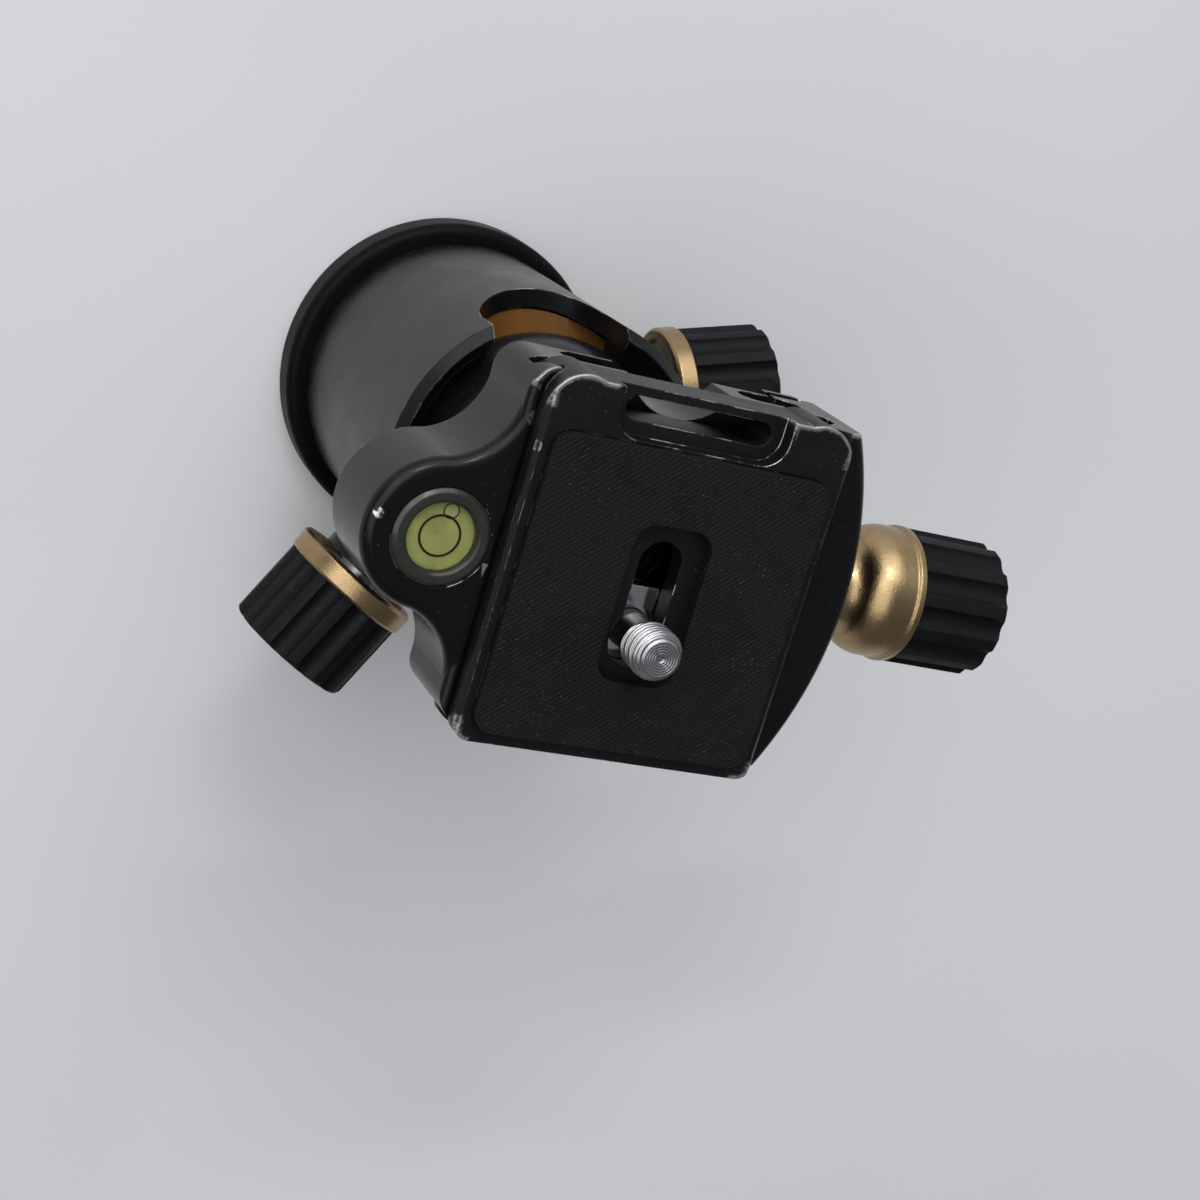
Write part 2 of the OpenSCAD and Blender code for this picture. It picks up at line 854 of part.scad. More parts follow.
module level_bubble() {
  color("#e6e8c8")
  translate([-level_x + 0.6, 2.95, 0])
    rod(0.95, jaw_top - 1.1, jaw_top - 0.8);
}

module level_target() {
  color("#101010")
  translate([-level_x, 0, 0])
    tube(target_r, target_r - 0.24, jaw_top - 0.8, jaw_top - 0.7);
}

module level_window() {
  color("#dfe3df")
  translate([-level_x, 0, 0])
    difference() {
      rod(liquid_r, jaw_top - 0.8, jaw_top);
      tube(target_r, target_r - 0.24, jaw_top - 0.9, jaw_top - 0.7);
    }
}

// The dovetail section of the plate in X and Z.
module plate_section() {
  lip = plate_half - 2.4;
  polygon([[-plate_half + 0.5, plate_top], [plate_half - 0.5, plate_top],
    [plate_half, plate_top - 0.5], [plate_half, pad_z - 3.4], [lip, pad_z - 4.6],
    [lip, pad_z - 5.4], [plate_half - 0.1, pad_z - 7.7], [plate_half - 0.1, plate_z + 0.5],
    [plate_half - 0.6, plate_z], [-plate_half + 0.6, plate_z], [-plate_half + 0.1, plate_z + 0.5],
    [-plate_half + 0.1, pad_z - 7.7], [-lip, pad_z - 5.4], [-lip, pad_z - 4.6],
    [-plate_half, pad_z - 3.4], [-plate_half, plate_top - 0.5]]);
}

// The plan of the plate: round ears at the front, bevelled corners at the back.
module plate_plan() {
  ear_w = plate_half - pocket_w / 2;
  translate([-plate_half, -plate_back + 2])
    square([2 * plate_half, plate_back - 2 + plate_front - 4]);
  translate([-plate_half + 2, -plate_back])
    square([2 * plate_half - 4, 10]);
  translate([-plate_half + 3, 0])
    square([2 * plate_half - 6, plate_front - 0.4]);
  for (side = [-1, 1]) {
    translate([side * (plate_half - ear_w / 2), plate_front - ear_w / 2])
      circle(r = ear_w / 2, $fn = 64);
    translate([side * (plate_half - 2), -plate_back + 2])
      circle(r = 2, $fn = 48);
  }
}

module release_plate() {
  front = pad_y + pad_l / 2;
  color("#1a1b1d")
  translate([-plate_shift, 0, 0])
    difference() {
      intersection() {
        translate([0, (plate_front - plate_back) / 2, 0])
          bar_along_y((plate_front + plate_back) / 2)
            plate_section();
        translate([0, 0, plate_z - 1])
          linear_extrude(20)
            plate_plan();
      }
      translate([0, pad_y, plate_top - pad_t + 0.2])
        linear_extrude(5)
          round_rect(pad_w, pad_l, 2.4);
      translate([0, (front + 0.3 + plate_front + 8) / 2, plate_top - pocket_d])
        linear_extrude(8)
          round_rect(pocket_w, plate_front + 8 - front - 0.3, 3);
      translate([0, front + 3.4, plate_z - 1])
        linear_extrude(20)
          long_slot(strap_l, strap_w);
      translate([0, (slot_back + slot_front) / 2, plate_z - 1])
        linear_extrude(web_under - plate_z + 1)
          round_rect(retainer_w + 0.6, slot_front - slot_back + retainer_l + 1, 1);
      translate([0, (slot_back + slot_front) / 2, plate_z - 1])
        linear_extrude(channel_z - plate_z + 1)
          rotate(90)
            long_slot(slot_front - slot_back + 2 * flange_r + 1, 2 * flange_r + 1);
      for (y = stop_ys)
        translate([stop_x + plate_shift, y, plate_z - 1])
          cylinder(r = 1.25, h = 4.2, $fn = 48);
      translate([0, (slot_back + slot_front) / 2, plate_z - 1])
        linear_extrude(20)
          rotate(90)
            long_slot(slot_front - slot_back + slot_w, slot_w);
      translate([0, screw_y - 0.4, plate_z - 1])
        cylinder(r = screw_r + 0.3, h = 20, $fn = 96);
    }
}

module rubber_pad() {
  color("#101112")
  translate([-plate_shift, pad_y, pad_z - pad_t + 0.2 - pad_t + 0.2])
    linear_extrude(2 * pad_t - 0.4)
      difference() {
        round_rect(pad_w - 0.1, pad_l - 0.1, 2.35);
        round_rect(window_w, window_l, 2.6);
      }
}

module stop_screws() {
  color("#a9abad")
  for (y = stop_ys)
    translate([stop_x, y, 0])
      difference() {
        union() {
          rod(1.25, plate_z - 0.1, plate_z + 3);
          rod(1.9, plate_z - 1.2, plate_z);
        }
        translate([0, 0, plate_z - 1.3])
          cylinder(r = 0.9, h = 0.9, $fn = 6);
      }
}

module screw_retainer() {
  color("#c4c6c8")
  translate([-plate_shift, screw_y, 0])
    difference() {
      translate([0, 0, channel_z + 0.2])
        linear_extrude(web_under - channel_z - 0.5)
          round_rect(retainer_w, retainer_l, 0.6);
      rod(screw_neck_r + run_gap, plate_z, pad_z);
    }
}

module camera_screw() {
  tip = pad_z + screw_out;
  thread_l = screw_out + 0.8;
  groove = 0.85;
  color("#c4c6c8")
  translate([-plate_shift, screw_y, 0])
    difference() {
      rotate_extrude($fn = 96)
        difference() {
          union() {
            translate([0, tip - thread_l])
              polygon([[0, 0], [screw_r, 0], [screw_r, thread_l - 0.7],
                [screw_r - 0.7, thread_l], [0, thread_l]]);
            translate([0, plate_z + body_gap])
              square([screw_neck_r, tip - thread_l + 0.1 - plate_z - body_gap]);
            translate([0, plate_z + body_gap])
              square([flange_r, channel_z - plate_z - body_gap]);
          }
          for (i = [0 : 3])
            translate([screw_r, tip - 1.5 - i * screw_pitch])
              rotate(45)
                square([groove, groove], center = true);
        }
      translate([0, 0, plate_z])
        cube([14, 1.4, 2.6], center = true);
    }
}

base_flange();
base_thread_bush();
pan_slip_ring();
pan_retaining_washer();
pan_retaining_screw();
ball_housing();
lower_ball_cup();
cup_spring_washer();
upper_ball_seat();
main_lock_plunger();
main_lock_stud();
main_knob_ring();
main_knob_grip();
pan_lock_plunger();
pan_lock_stud();
pan_knob_ring();
pan_knob_grip();
ball();
stem();
clamp_body();
stem_screw();
guide_pins();
moving_jaw();
clamp_lead_screw();
clamp_knob_hub();
clamp_knob_grip();
level_cup();
level_liquid();
level_bubble();
level_target();
level_window();
release_plate();
rubber_pad();
stop_screws();
screw_retainer();
camera_screw();
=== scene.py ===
"""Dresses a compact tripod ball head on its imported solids.

The solids keep their places. Each sub-assembly class here gives its nodes their finish and models
the few pieces whose true form is finer than the solid one: the two screw threads, the index mark
and the bubble level's lens. All lengths are in metres.
"""

from __future__ import annotations

import json
import logging
import math
from dataclasses import dataclass
from enum import Enum

import bpy
from mathutils import Euler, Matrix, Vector

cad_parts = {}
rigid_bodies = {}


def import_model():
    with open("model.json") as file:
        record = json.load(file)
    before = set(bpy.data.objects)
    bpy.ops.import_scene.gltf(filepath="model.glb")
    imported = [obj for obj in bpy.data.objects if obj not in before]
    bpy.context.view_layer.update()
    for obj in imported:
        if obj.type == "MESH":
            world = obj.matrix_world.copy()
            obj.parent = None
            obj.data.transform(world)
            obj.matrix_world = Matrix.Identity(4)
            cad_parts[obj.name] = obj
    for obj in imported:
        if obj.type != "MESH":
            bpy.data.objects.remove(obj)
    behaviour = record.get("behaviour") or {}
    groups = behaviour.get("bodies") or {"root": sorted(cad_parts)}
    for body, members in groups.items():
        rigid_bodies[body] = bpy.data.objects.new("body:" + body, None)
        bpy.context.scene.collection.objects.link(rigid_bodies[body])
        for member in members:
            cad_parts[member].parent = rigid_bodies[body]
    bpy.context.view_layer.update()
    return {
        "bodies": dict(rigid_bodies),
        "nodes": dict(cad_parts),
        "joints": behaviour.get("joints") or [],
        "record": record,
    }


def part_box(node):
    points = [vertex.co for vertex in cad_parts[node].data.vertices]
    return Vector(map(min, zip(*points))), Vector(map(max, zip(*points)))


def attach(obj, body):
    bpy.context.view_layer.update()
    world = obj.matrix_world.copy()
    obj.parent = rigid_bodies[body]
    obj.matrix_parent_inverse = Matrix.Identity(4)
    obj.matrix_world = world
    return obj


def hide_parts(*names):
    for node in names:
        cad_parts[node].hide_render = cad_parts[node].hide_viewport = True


MM = 0.001
SCREW_AXIS = (-1.4 * MM, -6.9 * MM)
log = logging.getLogger("ball_head")

Socket = bpy.types.NodeSocket
Colour4 = tuple[float, float, float, float]


# ---- shader plumbing

FLOAT = "NodeSocketFloat"
VECTOR = "NodeSocketVector"
NOISE_SPAN = (0.3, 0.7)  # most of a noise pattern lies between these values


class Tree:
    """A node tree with short calls for adding nodes and joining their sockets."""

    def __init__(self, tree: bpy.types.NodeTree) -> None:
        """Wraps a tree.

        Args:
            tree: the node tree to write in.
        """
        self.tree = tree

    def feed(self, node: bpy.types.Node, values: dict) -> None:
        """Sets or joins a node's inputs.

        Args:
            node: the node.
            values: socket name or number to a constant, or to an output socket that feeds it.
        """
        for name, value in values.items():
            if isinstance(value, Socket):
                self.tree.links.new(value, node.inputs[name])
            else:
                node.inputs[name].default_value = value

    def add(self, kind: str, values: dict | None = None, **settings) -> bpy.types.Node:
        """Adds a node.

        Args:
            kind: the node type's identifier.
            values: its inputs, as feed takes them.
            settings: properties of the node itself.

        Returns:
            The new node.
        """
        node = self.tree.nodes.new(kind)
        for name, value in settings.items():
            setattr(node, name, value)
        self.feed(node, values or {})
        return node

    def math(self, operation: str, first, second=0.0) -> Socket:
        """Adds a Math node.

        Args:
            operation: the node's operation.
            first: its first value or socket.
            second: its second value or socket.

        Returns:
            The result's socket.
        """
        return self.add("ShaderNodeMath", {0: first, 1: second}, operation=operation).outputs[0]

    def ramp(self, value, low, high, to_low=0.0, to_high=1.0) -> Socket:
        """Maps a value smoothly from one range to another. Each number may also be a socket.

        Args:
            value: the socket to read.
            low: the value that gives to_low.
            high: the value that gives to_high.
            to_low: the result at low.
            to_high: the result at high.

        Returns:
            The result's socket.
        """
        ends = {"From Min": low, "From Max": high, "To Min": to_low, "To Max": to_high}
        node = self.add(
            "ShaderNodeMapRange", {"Value": value, **ends}, interpolation_type="SMOOTHSTEP"
        )
        return node.outputs["Result"]

    def noise(self, place, scale, detail: float, rough: float = 0.5) -> Socket:
        """Adds a noise pattern.

        Args:
            place: the coordinates' socket.
            scale: how many features lie in a metre, as a number or a socket.
            detail: how many finer layers it has.
            rough: how strong the finer layers are.

        Returns:
            The pattern's value.
        """
        values = {"Vector": place, "Scale": scale, "Detail": detail, "Roughness": rough}
        return self.add("ShaderNodeTexNoise", values).outputs["Fac"]

    def vary(self, pattern, low: float, high: float) -> Socket:
        """Spreads a noise pattern over a range.

        Args:
            pattern: the noise's socket.
            low: the result where the pattern is low.
            high: the result where the pattern is high.

        Returns:
            The result's socket.
        """
        return self.ramp(pattern, *NOISE_SPAN, low, high)

    def mix(self, share, first, second) -> Socket:
        """Mixes two colours. The node repeats its socket names, so they go by number.

        Args:
            share: the second colour's share.
            first: the first colour or socket.
            second: the second colour or socket.

        Returns:
            The mixed colour.
        """
        sockets = {0: share, 6: first, 7: second}
        return self.add("ShaderNodeMix", sockets, data_type="RGBA").outputs[2]

    def vector(self, operation: str, first, second) -> bpy.types.bpy_prop_collection:
        """Adds a Vector Math node with two vectors.

        Args:
            operation: the node's operation.
            first: its first vector or socket.
            second: its second vector or socket.

        Returns:
            The node's outputs.
        """
        return self.add("ShaderNodeVectorMath", {0: first, 1: second}, operation=operation).outputs

    def scaled(self, colour, factor) -> Socket:
        """Makes a colour lighter or darker.

        Args:
            colour: the colour or its socket.
            factor: what it is multiplied by.

        Returns:
            The new colour's socket.
        """
        sockets = {0: colour, 3: factor}
        return self.add("ShaderNodeVectorMath", sockets, operation="SCALE").outputs[0]

    def place(self) -> Socket:
        """Reads where each point lies in its own object.

        Returns:
            The coordinates' socket.
        """
        return self.add("ShaderNodeTexCoord").outputs["Object"]

    def radius_from(self, x: float, y: float) -> Socket:
        """Measures how far each point lies from an upright axis.

        Args:
            x: the axis's x.
            y: the axis's y.

        Returns:
            The distance's socket.
        """
        flat = self.vector("MULTIPLY", self.place(), (1.0, 1.0, 0.0))[0]
        return self.vector("DISTANCE", flat, (x, y, 0.0))["Value"]

    def bump(self, height, normal, strength: float, depth: float) -> Socket:
        """Adds a fine relief.

        Args:
            height: the relief's socket.
            normal: the normal that it stands on.
            strength: how strongly it shows.
            depth: how deep it is.

        Returns:
            The new normal's socket.
        """
        values = {"Strength": strength, "Distance": depth, "Height": height, "Normal": normal}
        return self.add("ShaderNodeBump", values).outputs[0]


class GroupTree(Tree):
    """The tree of a shader node group."""

    def __init__(
        self, name: str, inputs: dict[str, tuple[str, object]], outputs: dict[str, str]
    ) -> None:
        """Starts the group.

        Args:
            name: the group's name.
            inputs: input name to its socket type and default.
            outputs: output name to its socket type.
        """
        group = bpy.data.node_groups.new(name, "ShaderNodeTree")
        for label, (kind, default) in inputs.items():
            socket = group.interface.new_socket(label, in_out="INPUT", socket_type=kind)
            socket.default_value = default
        for label, kind in outputs.items():
            group.interface.new_socket(label, in_out="OUTPUT", socket_type=kind)
        super().__init__(group)
        self.given = self.add("NodeGroupInput").outputs
        self.result = self.add("NodeGroupOutput")


class MaterialTree(Tree):
    """The tree of a material with one main shader."""

    def __init__(self, name: str) -> None:
        """Starts the material.

        Args:
            name: the material's name.
        """
        self.material = bpy.data.materials.new(name)
        self.material.use_nodes = True
        self.material.node_tree.nodes.clear()
        super().__init__(self.material.node_tree)
        self.shader = self.add("ShaderNodeBsdfPrincipled")
        self.end = self.add("ShaderNodeOutputMaterial", {"Surface": self.shader.outputs[0]})

    def group(self, group: bpy.types.NodeTree, values: dict) -> bpy.types.bpy_prop_collection:
        """Places a shared group.

        Args:
            group: the group to place.
            values: its inputs, as feed takes them.

        Returns:
            The group's outputs.
        """
        return self.add("ShaderNodeGroup", values, node_tree=group).outputs

    def shade(self, values: dict) -> None:
        """Sets the main shader.

        Args:
            values: its inputs, as feed takes them.
        """
        self.feed(self.shader, values)


# ---- shared effects

BEVEL_SAMPLES = 6
PATCH_SPAN = (0.52, 0.6)  # the noise at which worn patches begin and are full
CHIP_OUTLINE = 0.8  # how far noise pushes a chip's outline about
CHIP_REACH = (1.4, 1.2)  # the distance in sizes, with noise, at which it ends and is full
CHIP_RAGGED = 0.5  # how far noise pushes a chip's inner border about
CHIP_BORDER = (0.28, 0.31)  # the bend with noise at which bare metal begins and is full
CHIP_BEND = (0.01, 0.03)  # the bend alone at which a chip can begin and be full
SLOW_SCALE = 160.0
SPECK_SPAN = (0.18, 0.08)  # a speck's rim and its full middle, in cells
DRIFT_SCALE = 120.0
DRIFT_SPAN = (0.42, 0.62)  # the noise at which dust begins and is full
RIB_SPAN = (-0.6, 0.6)  # cuts a sine wave into flat ribs with steep sides
RIB_SHARES = (0.85, 0.15)  # how high the main ribs and those across them are


class Effects:
    """The node groups that several finishes share, each built once."""

    def __init__(self) -> None:
        """Builds every group."""
        self.edge = self._edge()
        self.chip = self._chip()
        self.grain = self._grain()
        self.dust = self._dust()
        self.ribs = self._ribs()

    def _edge(self) -> bpy.types.NodeTree:
        """Softens sharp edges in the shading and finds where they are worn.

        Returns:
            The group: Radius, Patch Scale, Low and High in; Mask, Edge and Normal out.
        """
        tree = GroupTree(
            "edge_softness_and_wear",
            {
                "Radius": (FLOAT, 0.2 * MM),
                "Patch Scale": (FLOAT, 300.0),
                "Low": (FLOAT, 0.03),
                "High": (FLOAT, 0.2),
            },
            {"Mask": FLOAT, "Edge": FLOAT, "Normal": VECTOR},
        )
        round_edge = {"Radius": tree.given["Radius"]}
        bevel = tree.add("ShaderNodeBevel", round_edge, samples=BEVEL_SAMPLES).outputs[0]
        flat = tree.add("ShaderNodeNewGeometry").outputs["Normal"]
        agreement = tree.vector("DOT_PRODUCT", bevel, flat)["Value"]
        bend = tree.math("SUBTRACT", 1.0, agreement)
        edge = tree.ramp(bend, tree.given["Low"], tree.given["High"])
        pattern = tree.noise(tree.place(), tree.given["Patch Scale"], detail=5.0, rough=0.65)
        mask = tree.math("MULTIPLY", edge, tree.ramp(pattern, *PATCH_SPAN))
        tree.feed(tree.result, {"Mask": mask, "Edge": bend, "Normal": bevel})
        return tree.tree

    def _chip(self) -> bpy.types.NodeTree:
        """Marks the knocked stretch of an edge round one point.

        Returns:
            The group: Centre, Size, Grain, Lift and Edge in; Mask out.
        """
        tree = GroupTree(
            "knocked_edge",
            {
                "Centre": (VECTOR, (0.0, 0.0, 0.0)),
                "Size": (FLOAT, 2 * MM),
                "Grain": (FLOAT, 900.0),
                "Lift": (FLOAT, 0.0),
                "Edge": (FLOAT, 0.0),
            },
            {"Mask": FLOAT},
        )
        place = tree.place()
        far = tree.vector("DISTANCE", place, tree.given["Centre"])["Value"]
        share = tree.math("DIVIDE", far, tree.given["Size"])
        pattern = tree.noise(place, tree.given["Grain"], detail=4.0, rough=0.7)
        outline = tree.math("ADD", share, tree.math("MULTIPLY", pattern, CHIP_OUTLINE))
        near = tree.ramp(outline, *CHIP_REACH)
        bend = tree.math("ADD", tree.given["Edge"], tree.given["Lift"])
        ragged = tree.math("ADD", bend, tree.math("MULTIPLY", pattern, CHIP_RAGGED))
        border, sharp = tree.ramp(ragged, *CHIP_BORDER), tree.ramp(bend, *CHIP_BEND)
        bare = tree.math("MULTIPLY", border, sharp)
        tree.feed(tree.result, {"Mask": tree.math("MULTIPLY", near, bare)})
        return tree.tree

    def _grain(self) -> bpy.types.NodeTree:
        """Gives a fine grain as a height and a slow variation of gloss.

        Returns:
            The group: Scale in; Height and Gloss out, both about 0 to 1.
        """
        outputs = {"Height": FLOAT, "Gloss": FLOAT}
        tree = GroupTree("fine_grain", {"Scale": (FLOAT, 9000.0)}, outputs)
        place = tree.place()
        fine = tree.noise(place, tree.given["Scale"], detail=2.0, rough=0.6)
        slow = tree.noise(place, SLOW_SCALE, detail=4.0, rough=0.6)
        tree.feed(tree.result, {"Height": fine, "Gloss": slow})
        return tree.tree

    def _dust(self) -> bpy.types.NodeTree:
        """Scatters specks of dust.

        Returns:
            The group: Scale and Amount in; Mask out.
        """
        inputs = {"Scale": (FLOAT, 2400.0), "Amount": (FLOAT, 0.2)}
        tree = GroupTree("dust_specks", inputs, {"Mask": FLOAT})
        place = tree.place()
        values = {"Vector": place, "Scale": tree.given["Scale"]}
        cells = tree.add("ShaderNodeTexVoronoi", values).outputs
        speck = tree.ramp(cells["Distance"], *SPECK_SPAN)
        chance = tree.add("ShaderNodeSeparateColor", {"Color": cells["Color"]}).outputs[0]
        chosen = tree.math("LESS_THAN", chance, tree.given["Amount"])
        drift = tree.ramp(tree.noise(place, DRIFT_SCALE, detail=3.0), *DRIFT_SPAN)
        mask = tree.math("MULTIPLY", tree.math("MULTIPLY", speck, chosen), drift)
        tree.feed(tree.result, {"Mask": mask})
        return tree.tree

    def _ribs(self) -> bpy.types.NodeTree:
        """Draws fine slanted ribs with fainter ones across them, as moulded into a camera pad.

        Returns:
            The group: Pitch and Angle in; Height out.
        """
        inputs = {"Pitch": (FLOAT, 0.53 * MM), "Angle": (FLOAT, 0.7)}
        tree = GroupTree("slanted_ribs", inputs, {"Height": FLOAT})
        values = {"Vector": tree.place(), "Angle": tree.given["Angle"]}
        turned = tree.add("ShaderNodeVectorRotate", values, rotation_type="Z_AXIS").outputs[0]
        axes = tree.add("ShaderNodeSeparateXYZ", {0: turned}).outputs
        waves = []
        for axis, share in zip(axes, RIB_SHARES):
            count = tree.math("DIVIDE", axis, tree.given["Pitch"])
            wave = tree.math("SINE", tree.math("MULTIPLY", count, 2 * math.pi))
            waves.append(tree.math("MULTIPLY", tree.ramp(wave, *RIB_SPAN), share))
        tree.feed(tree.result, {"Height": tree.math("ADD", *waves)})
        return tree.tree


# ---- finishes


@dataclass(frozen=True)
class Chip:
    """A knocked place where bare metal shows."""

    centre: tuple[float, float, float]
    size: float
    grain: float = 900.0
    lift: float = 0.0

    def inputs(self, edge: Socket) -> dict:
        """Gives the inputs of the knocked_edge group.

        Args:
            edge: how far the surface bends near each point.

        Returns:
            Input name to value.
        """
        place = {"Centre": self.centre, "Size": self.size}
        return {**place, "Grain": self.grain, "Lift": self.lift, "Edge": edge}


@dataclass(frozen=True)
class Finish:
    """What every finish has. The colour is multiplied by a slow variation between two tints."""

    name: str
    colour: tuple[float, float, float]
    roughness: float
    tints: tuple[float, float] = (0.9, 1.1)

    def tinted(self, tree: Tree, slow: Socket) -> Socket:
        """Varies the colour slowly over the surface.

        Args:
            tree: the material's tree.
            slow: the slow variation.

        Returns:
            The colour's socket.
        """
        return tree.scaled(self.colour, tree.vary(slow, *self.tints))


@dataclass(frozen=True)
class DustyFinish(Finish):
    """A finish that dust can lie on. Its gloss is what roughness varies by, down and up."""

    gloss: tuple[float, float] = (-0.03, 0.04)
    specular: float = 0.5
    dust: float = 0.0
    dust_share: float = 0.35
    dust_colour: Colour4 = (0.35, 0.34, 0.33, 1.0)

    def rough(self, tree: Tree, slow: Socket) -> Socket:
        """Varies the roughness slowly over the surface.

        Args:
            tree: the material's tree.
            slow: the slow variation.

        Returns:
            The roughness's socket.
        """
        down, up = self.gloss
        return tree.vary(slow, self.roughness + down, self.roughness + up)

    def dusted(
        self, tree: MaterialTree, effects: Effects, colour: Socket
    ) -> Socket:
        """Lays this finish's dust over a colour.

        Args:
            tree: the material's tree.
            effects: the shared node groups.
            colour: the colour's socket.

        Returns:
            The dusted colour's socket, or the same one if the finish has no dust.
        """
        if not self.dust:
            return colour
        specks = tree.group(effects.dust, {"Amount": self.dust})["Mask"]
        return tree.mix(tree.math("MULTIPLY", specks, self.dust_share), colour, self.dust_colour)


@dataclass(frozen=True)
class CoatedMetal(DustyFinish):
    """Aluminium under a coloured coat, with bare metal where it is worn."""

    metallic: float = 0.0
    bare: tuple[float, float, float] = (0.62, 0.62, 0.6)
    bare_roughness: float = 0.42
    wear: float = 1.0
    wear_span: tuple[float, float] = (0.05, 0.22)
    soften: float = 0.25 * MM
    grain: float = 9000.0
    grain_depth: float = 0.006 * MM
    relief: float = 0.5
    chip_reach: float = 1.0 * MM
    chips: tuple[Chip, ...] = ()

    def build(self, effects: Effects) -> bpy.types.Material:
        """Makes the material.

        Args:
            effects: the shared node groups.

        Returns:
            The new material.
        """
        tree = MaterialTree(self.name)
        low, high = self.wear_span
        edge = tree.group(effects.edge, {"Radius": self.soften, "Low": low, "High": high})
        grain = tree.group(effects.grain, {"Scale": self.grain})
        worn = tree.math("MULTIPLY", edge["Mask"], self.wear)
        if self.chips:
            wide = tree.group(effects.edge, {"Radius": self.chip_reach})["Edge"]
            for chip in self.chips:
                knock = tree.group(effects.chip, chip.inputs(wide))
                worn = tree.math("MAXIMUM", worn, knock["Mask"])
        colour = tree.mix(worn, self.tinted(tree, grain["Gloss"]), (*self.bare, 1.0))
        bare_rough = tree.math("MULTIPLY", worn, self.bare_roughness)
        tree.shade(
            {
                "Base Color": self.dusted(tree, effects, colour),
                "Roughness": tree.math("MAXIMUM", self.rough(tree, grain["Gloss"]), bare_rough),
                "Metallic": tree.math("MAXIMUM", worn, self.metallic),
                "Specular IOR Level": self.specular,
                "Normal": tree.bump(grain["Height"], edge["Normal"], self.relief, self.grain_depth),
            }
        )
        return tree.material


@dataclass(frozen=True)
class TurnedMetal(Finish):
    """Bare or plated metal that was turned on a lathe, with rings round its axis if it has one, and
    painted shadow below a height if one is given.
    """

    tints: tuple[float, float] = (0.92, 1.05)
    gloss: tuple[float, float] = (0.8, 1.25)
    soften: float = 0.12 * MM
    grain: float = 14000.0
    relief: float = 0.4
    depth: float = 0.012 * MM
    axis: tuple[float, float] | None = None
    ring_pitch: float = 0.32 * MM
    ring_grain: float = 0.3
    # below this height the colour is darkened as painted shadow
    painted_shadow_below: float | None = None
    painted_shadow_factor: float = 0.05
    painted_shadow_fade: float = 0.3 * MM

    def build(self, effects: Effects) -> bpy.types.Material:
        """Makes the material.

        Args:
            effects: the shared node groups.

        Returns:
            The new material.
        """
        tree = MaterialTree(self.name)
        edge = tree.group(effects.edge, {"Radius": self.soften})
        grain = tree.group(effects.grain, {"Scale": self.grain})
        height = grain["Height"]
        if self.axis:
            radius = tree.radius_from(*self.axis)
            turn = tree.math("MULTIPLY", radius, 2 * math.pi / self.ring_pitch)
            rings = tree.ramp(tree.math("SINE", turn), -1.0, 1.0)
            height = tree.math("ADD", tree.math("MULTIPLY", height, self.ring_grain), rings)
        colour = self.tinted(tree, grain["Gloss"])
        # Painted shadow: the colour fades dark below the given height.
        if self.painted_shadow_below:
            level = tree.add("ShaderNodeSeparateXYZ", {0: tree.place()}).outputs[2]
            low, high = self.painted_shadow_below - self.painted_shadow_fade, self.painted_shadow_below + self.painted_shadow_fade
            colour = tree.scaled(colour, tree.ramp(level, low, high, self.painted_shadow_factor, 1.0))
        rough = tree.vary(grain["Gloss"], *(self.roughness * share for share in self.gloss))
        tree.shade(
            {
                "Base Color": colour,
                "Roughness": rough,
                "Metallic": 1.0,
                "Normal": tree.bump(height, edge["Normal"], self.relief, self.depth),
            }
        )
        return tree.material


@dataclass(frozen=True)
class Ribs:
    """Fine ribs on a moulded piece. They break where the grain is low. Their colour is painted
    darker in the gaps as painted shade and lighter on the ribs as a painted highlight.
    """

    pitch: float
    angle: float
    breaks: tuple[float, float] = (0.4, 0.56)
    grain: float = 0.35
    # the colour's factors in the gaps and on the ribs: painted shade and painted highlight
    painted_shade_and_highlight: tuple[float, float] = (0.75, 1.5)


@dataclass(frozen=True)
class PaintedEdgeShade:
    """A painted dark line round a small round piece, standing in for the shade at a bubble's edge.
    Its span is in shares of the radius.
    """

    axis: tuple[float, float]
    radius: float
    span: tuple[float, float] = (0.72, 0.88)
    # the painted shade's colour
    colour: Colour4 = (0.05, 0.05, 0.015, 1.0)


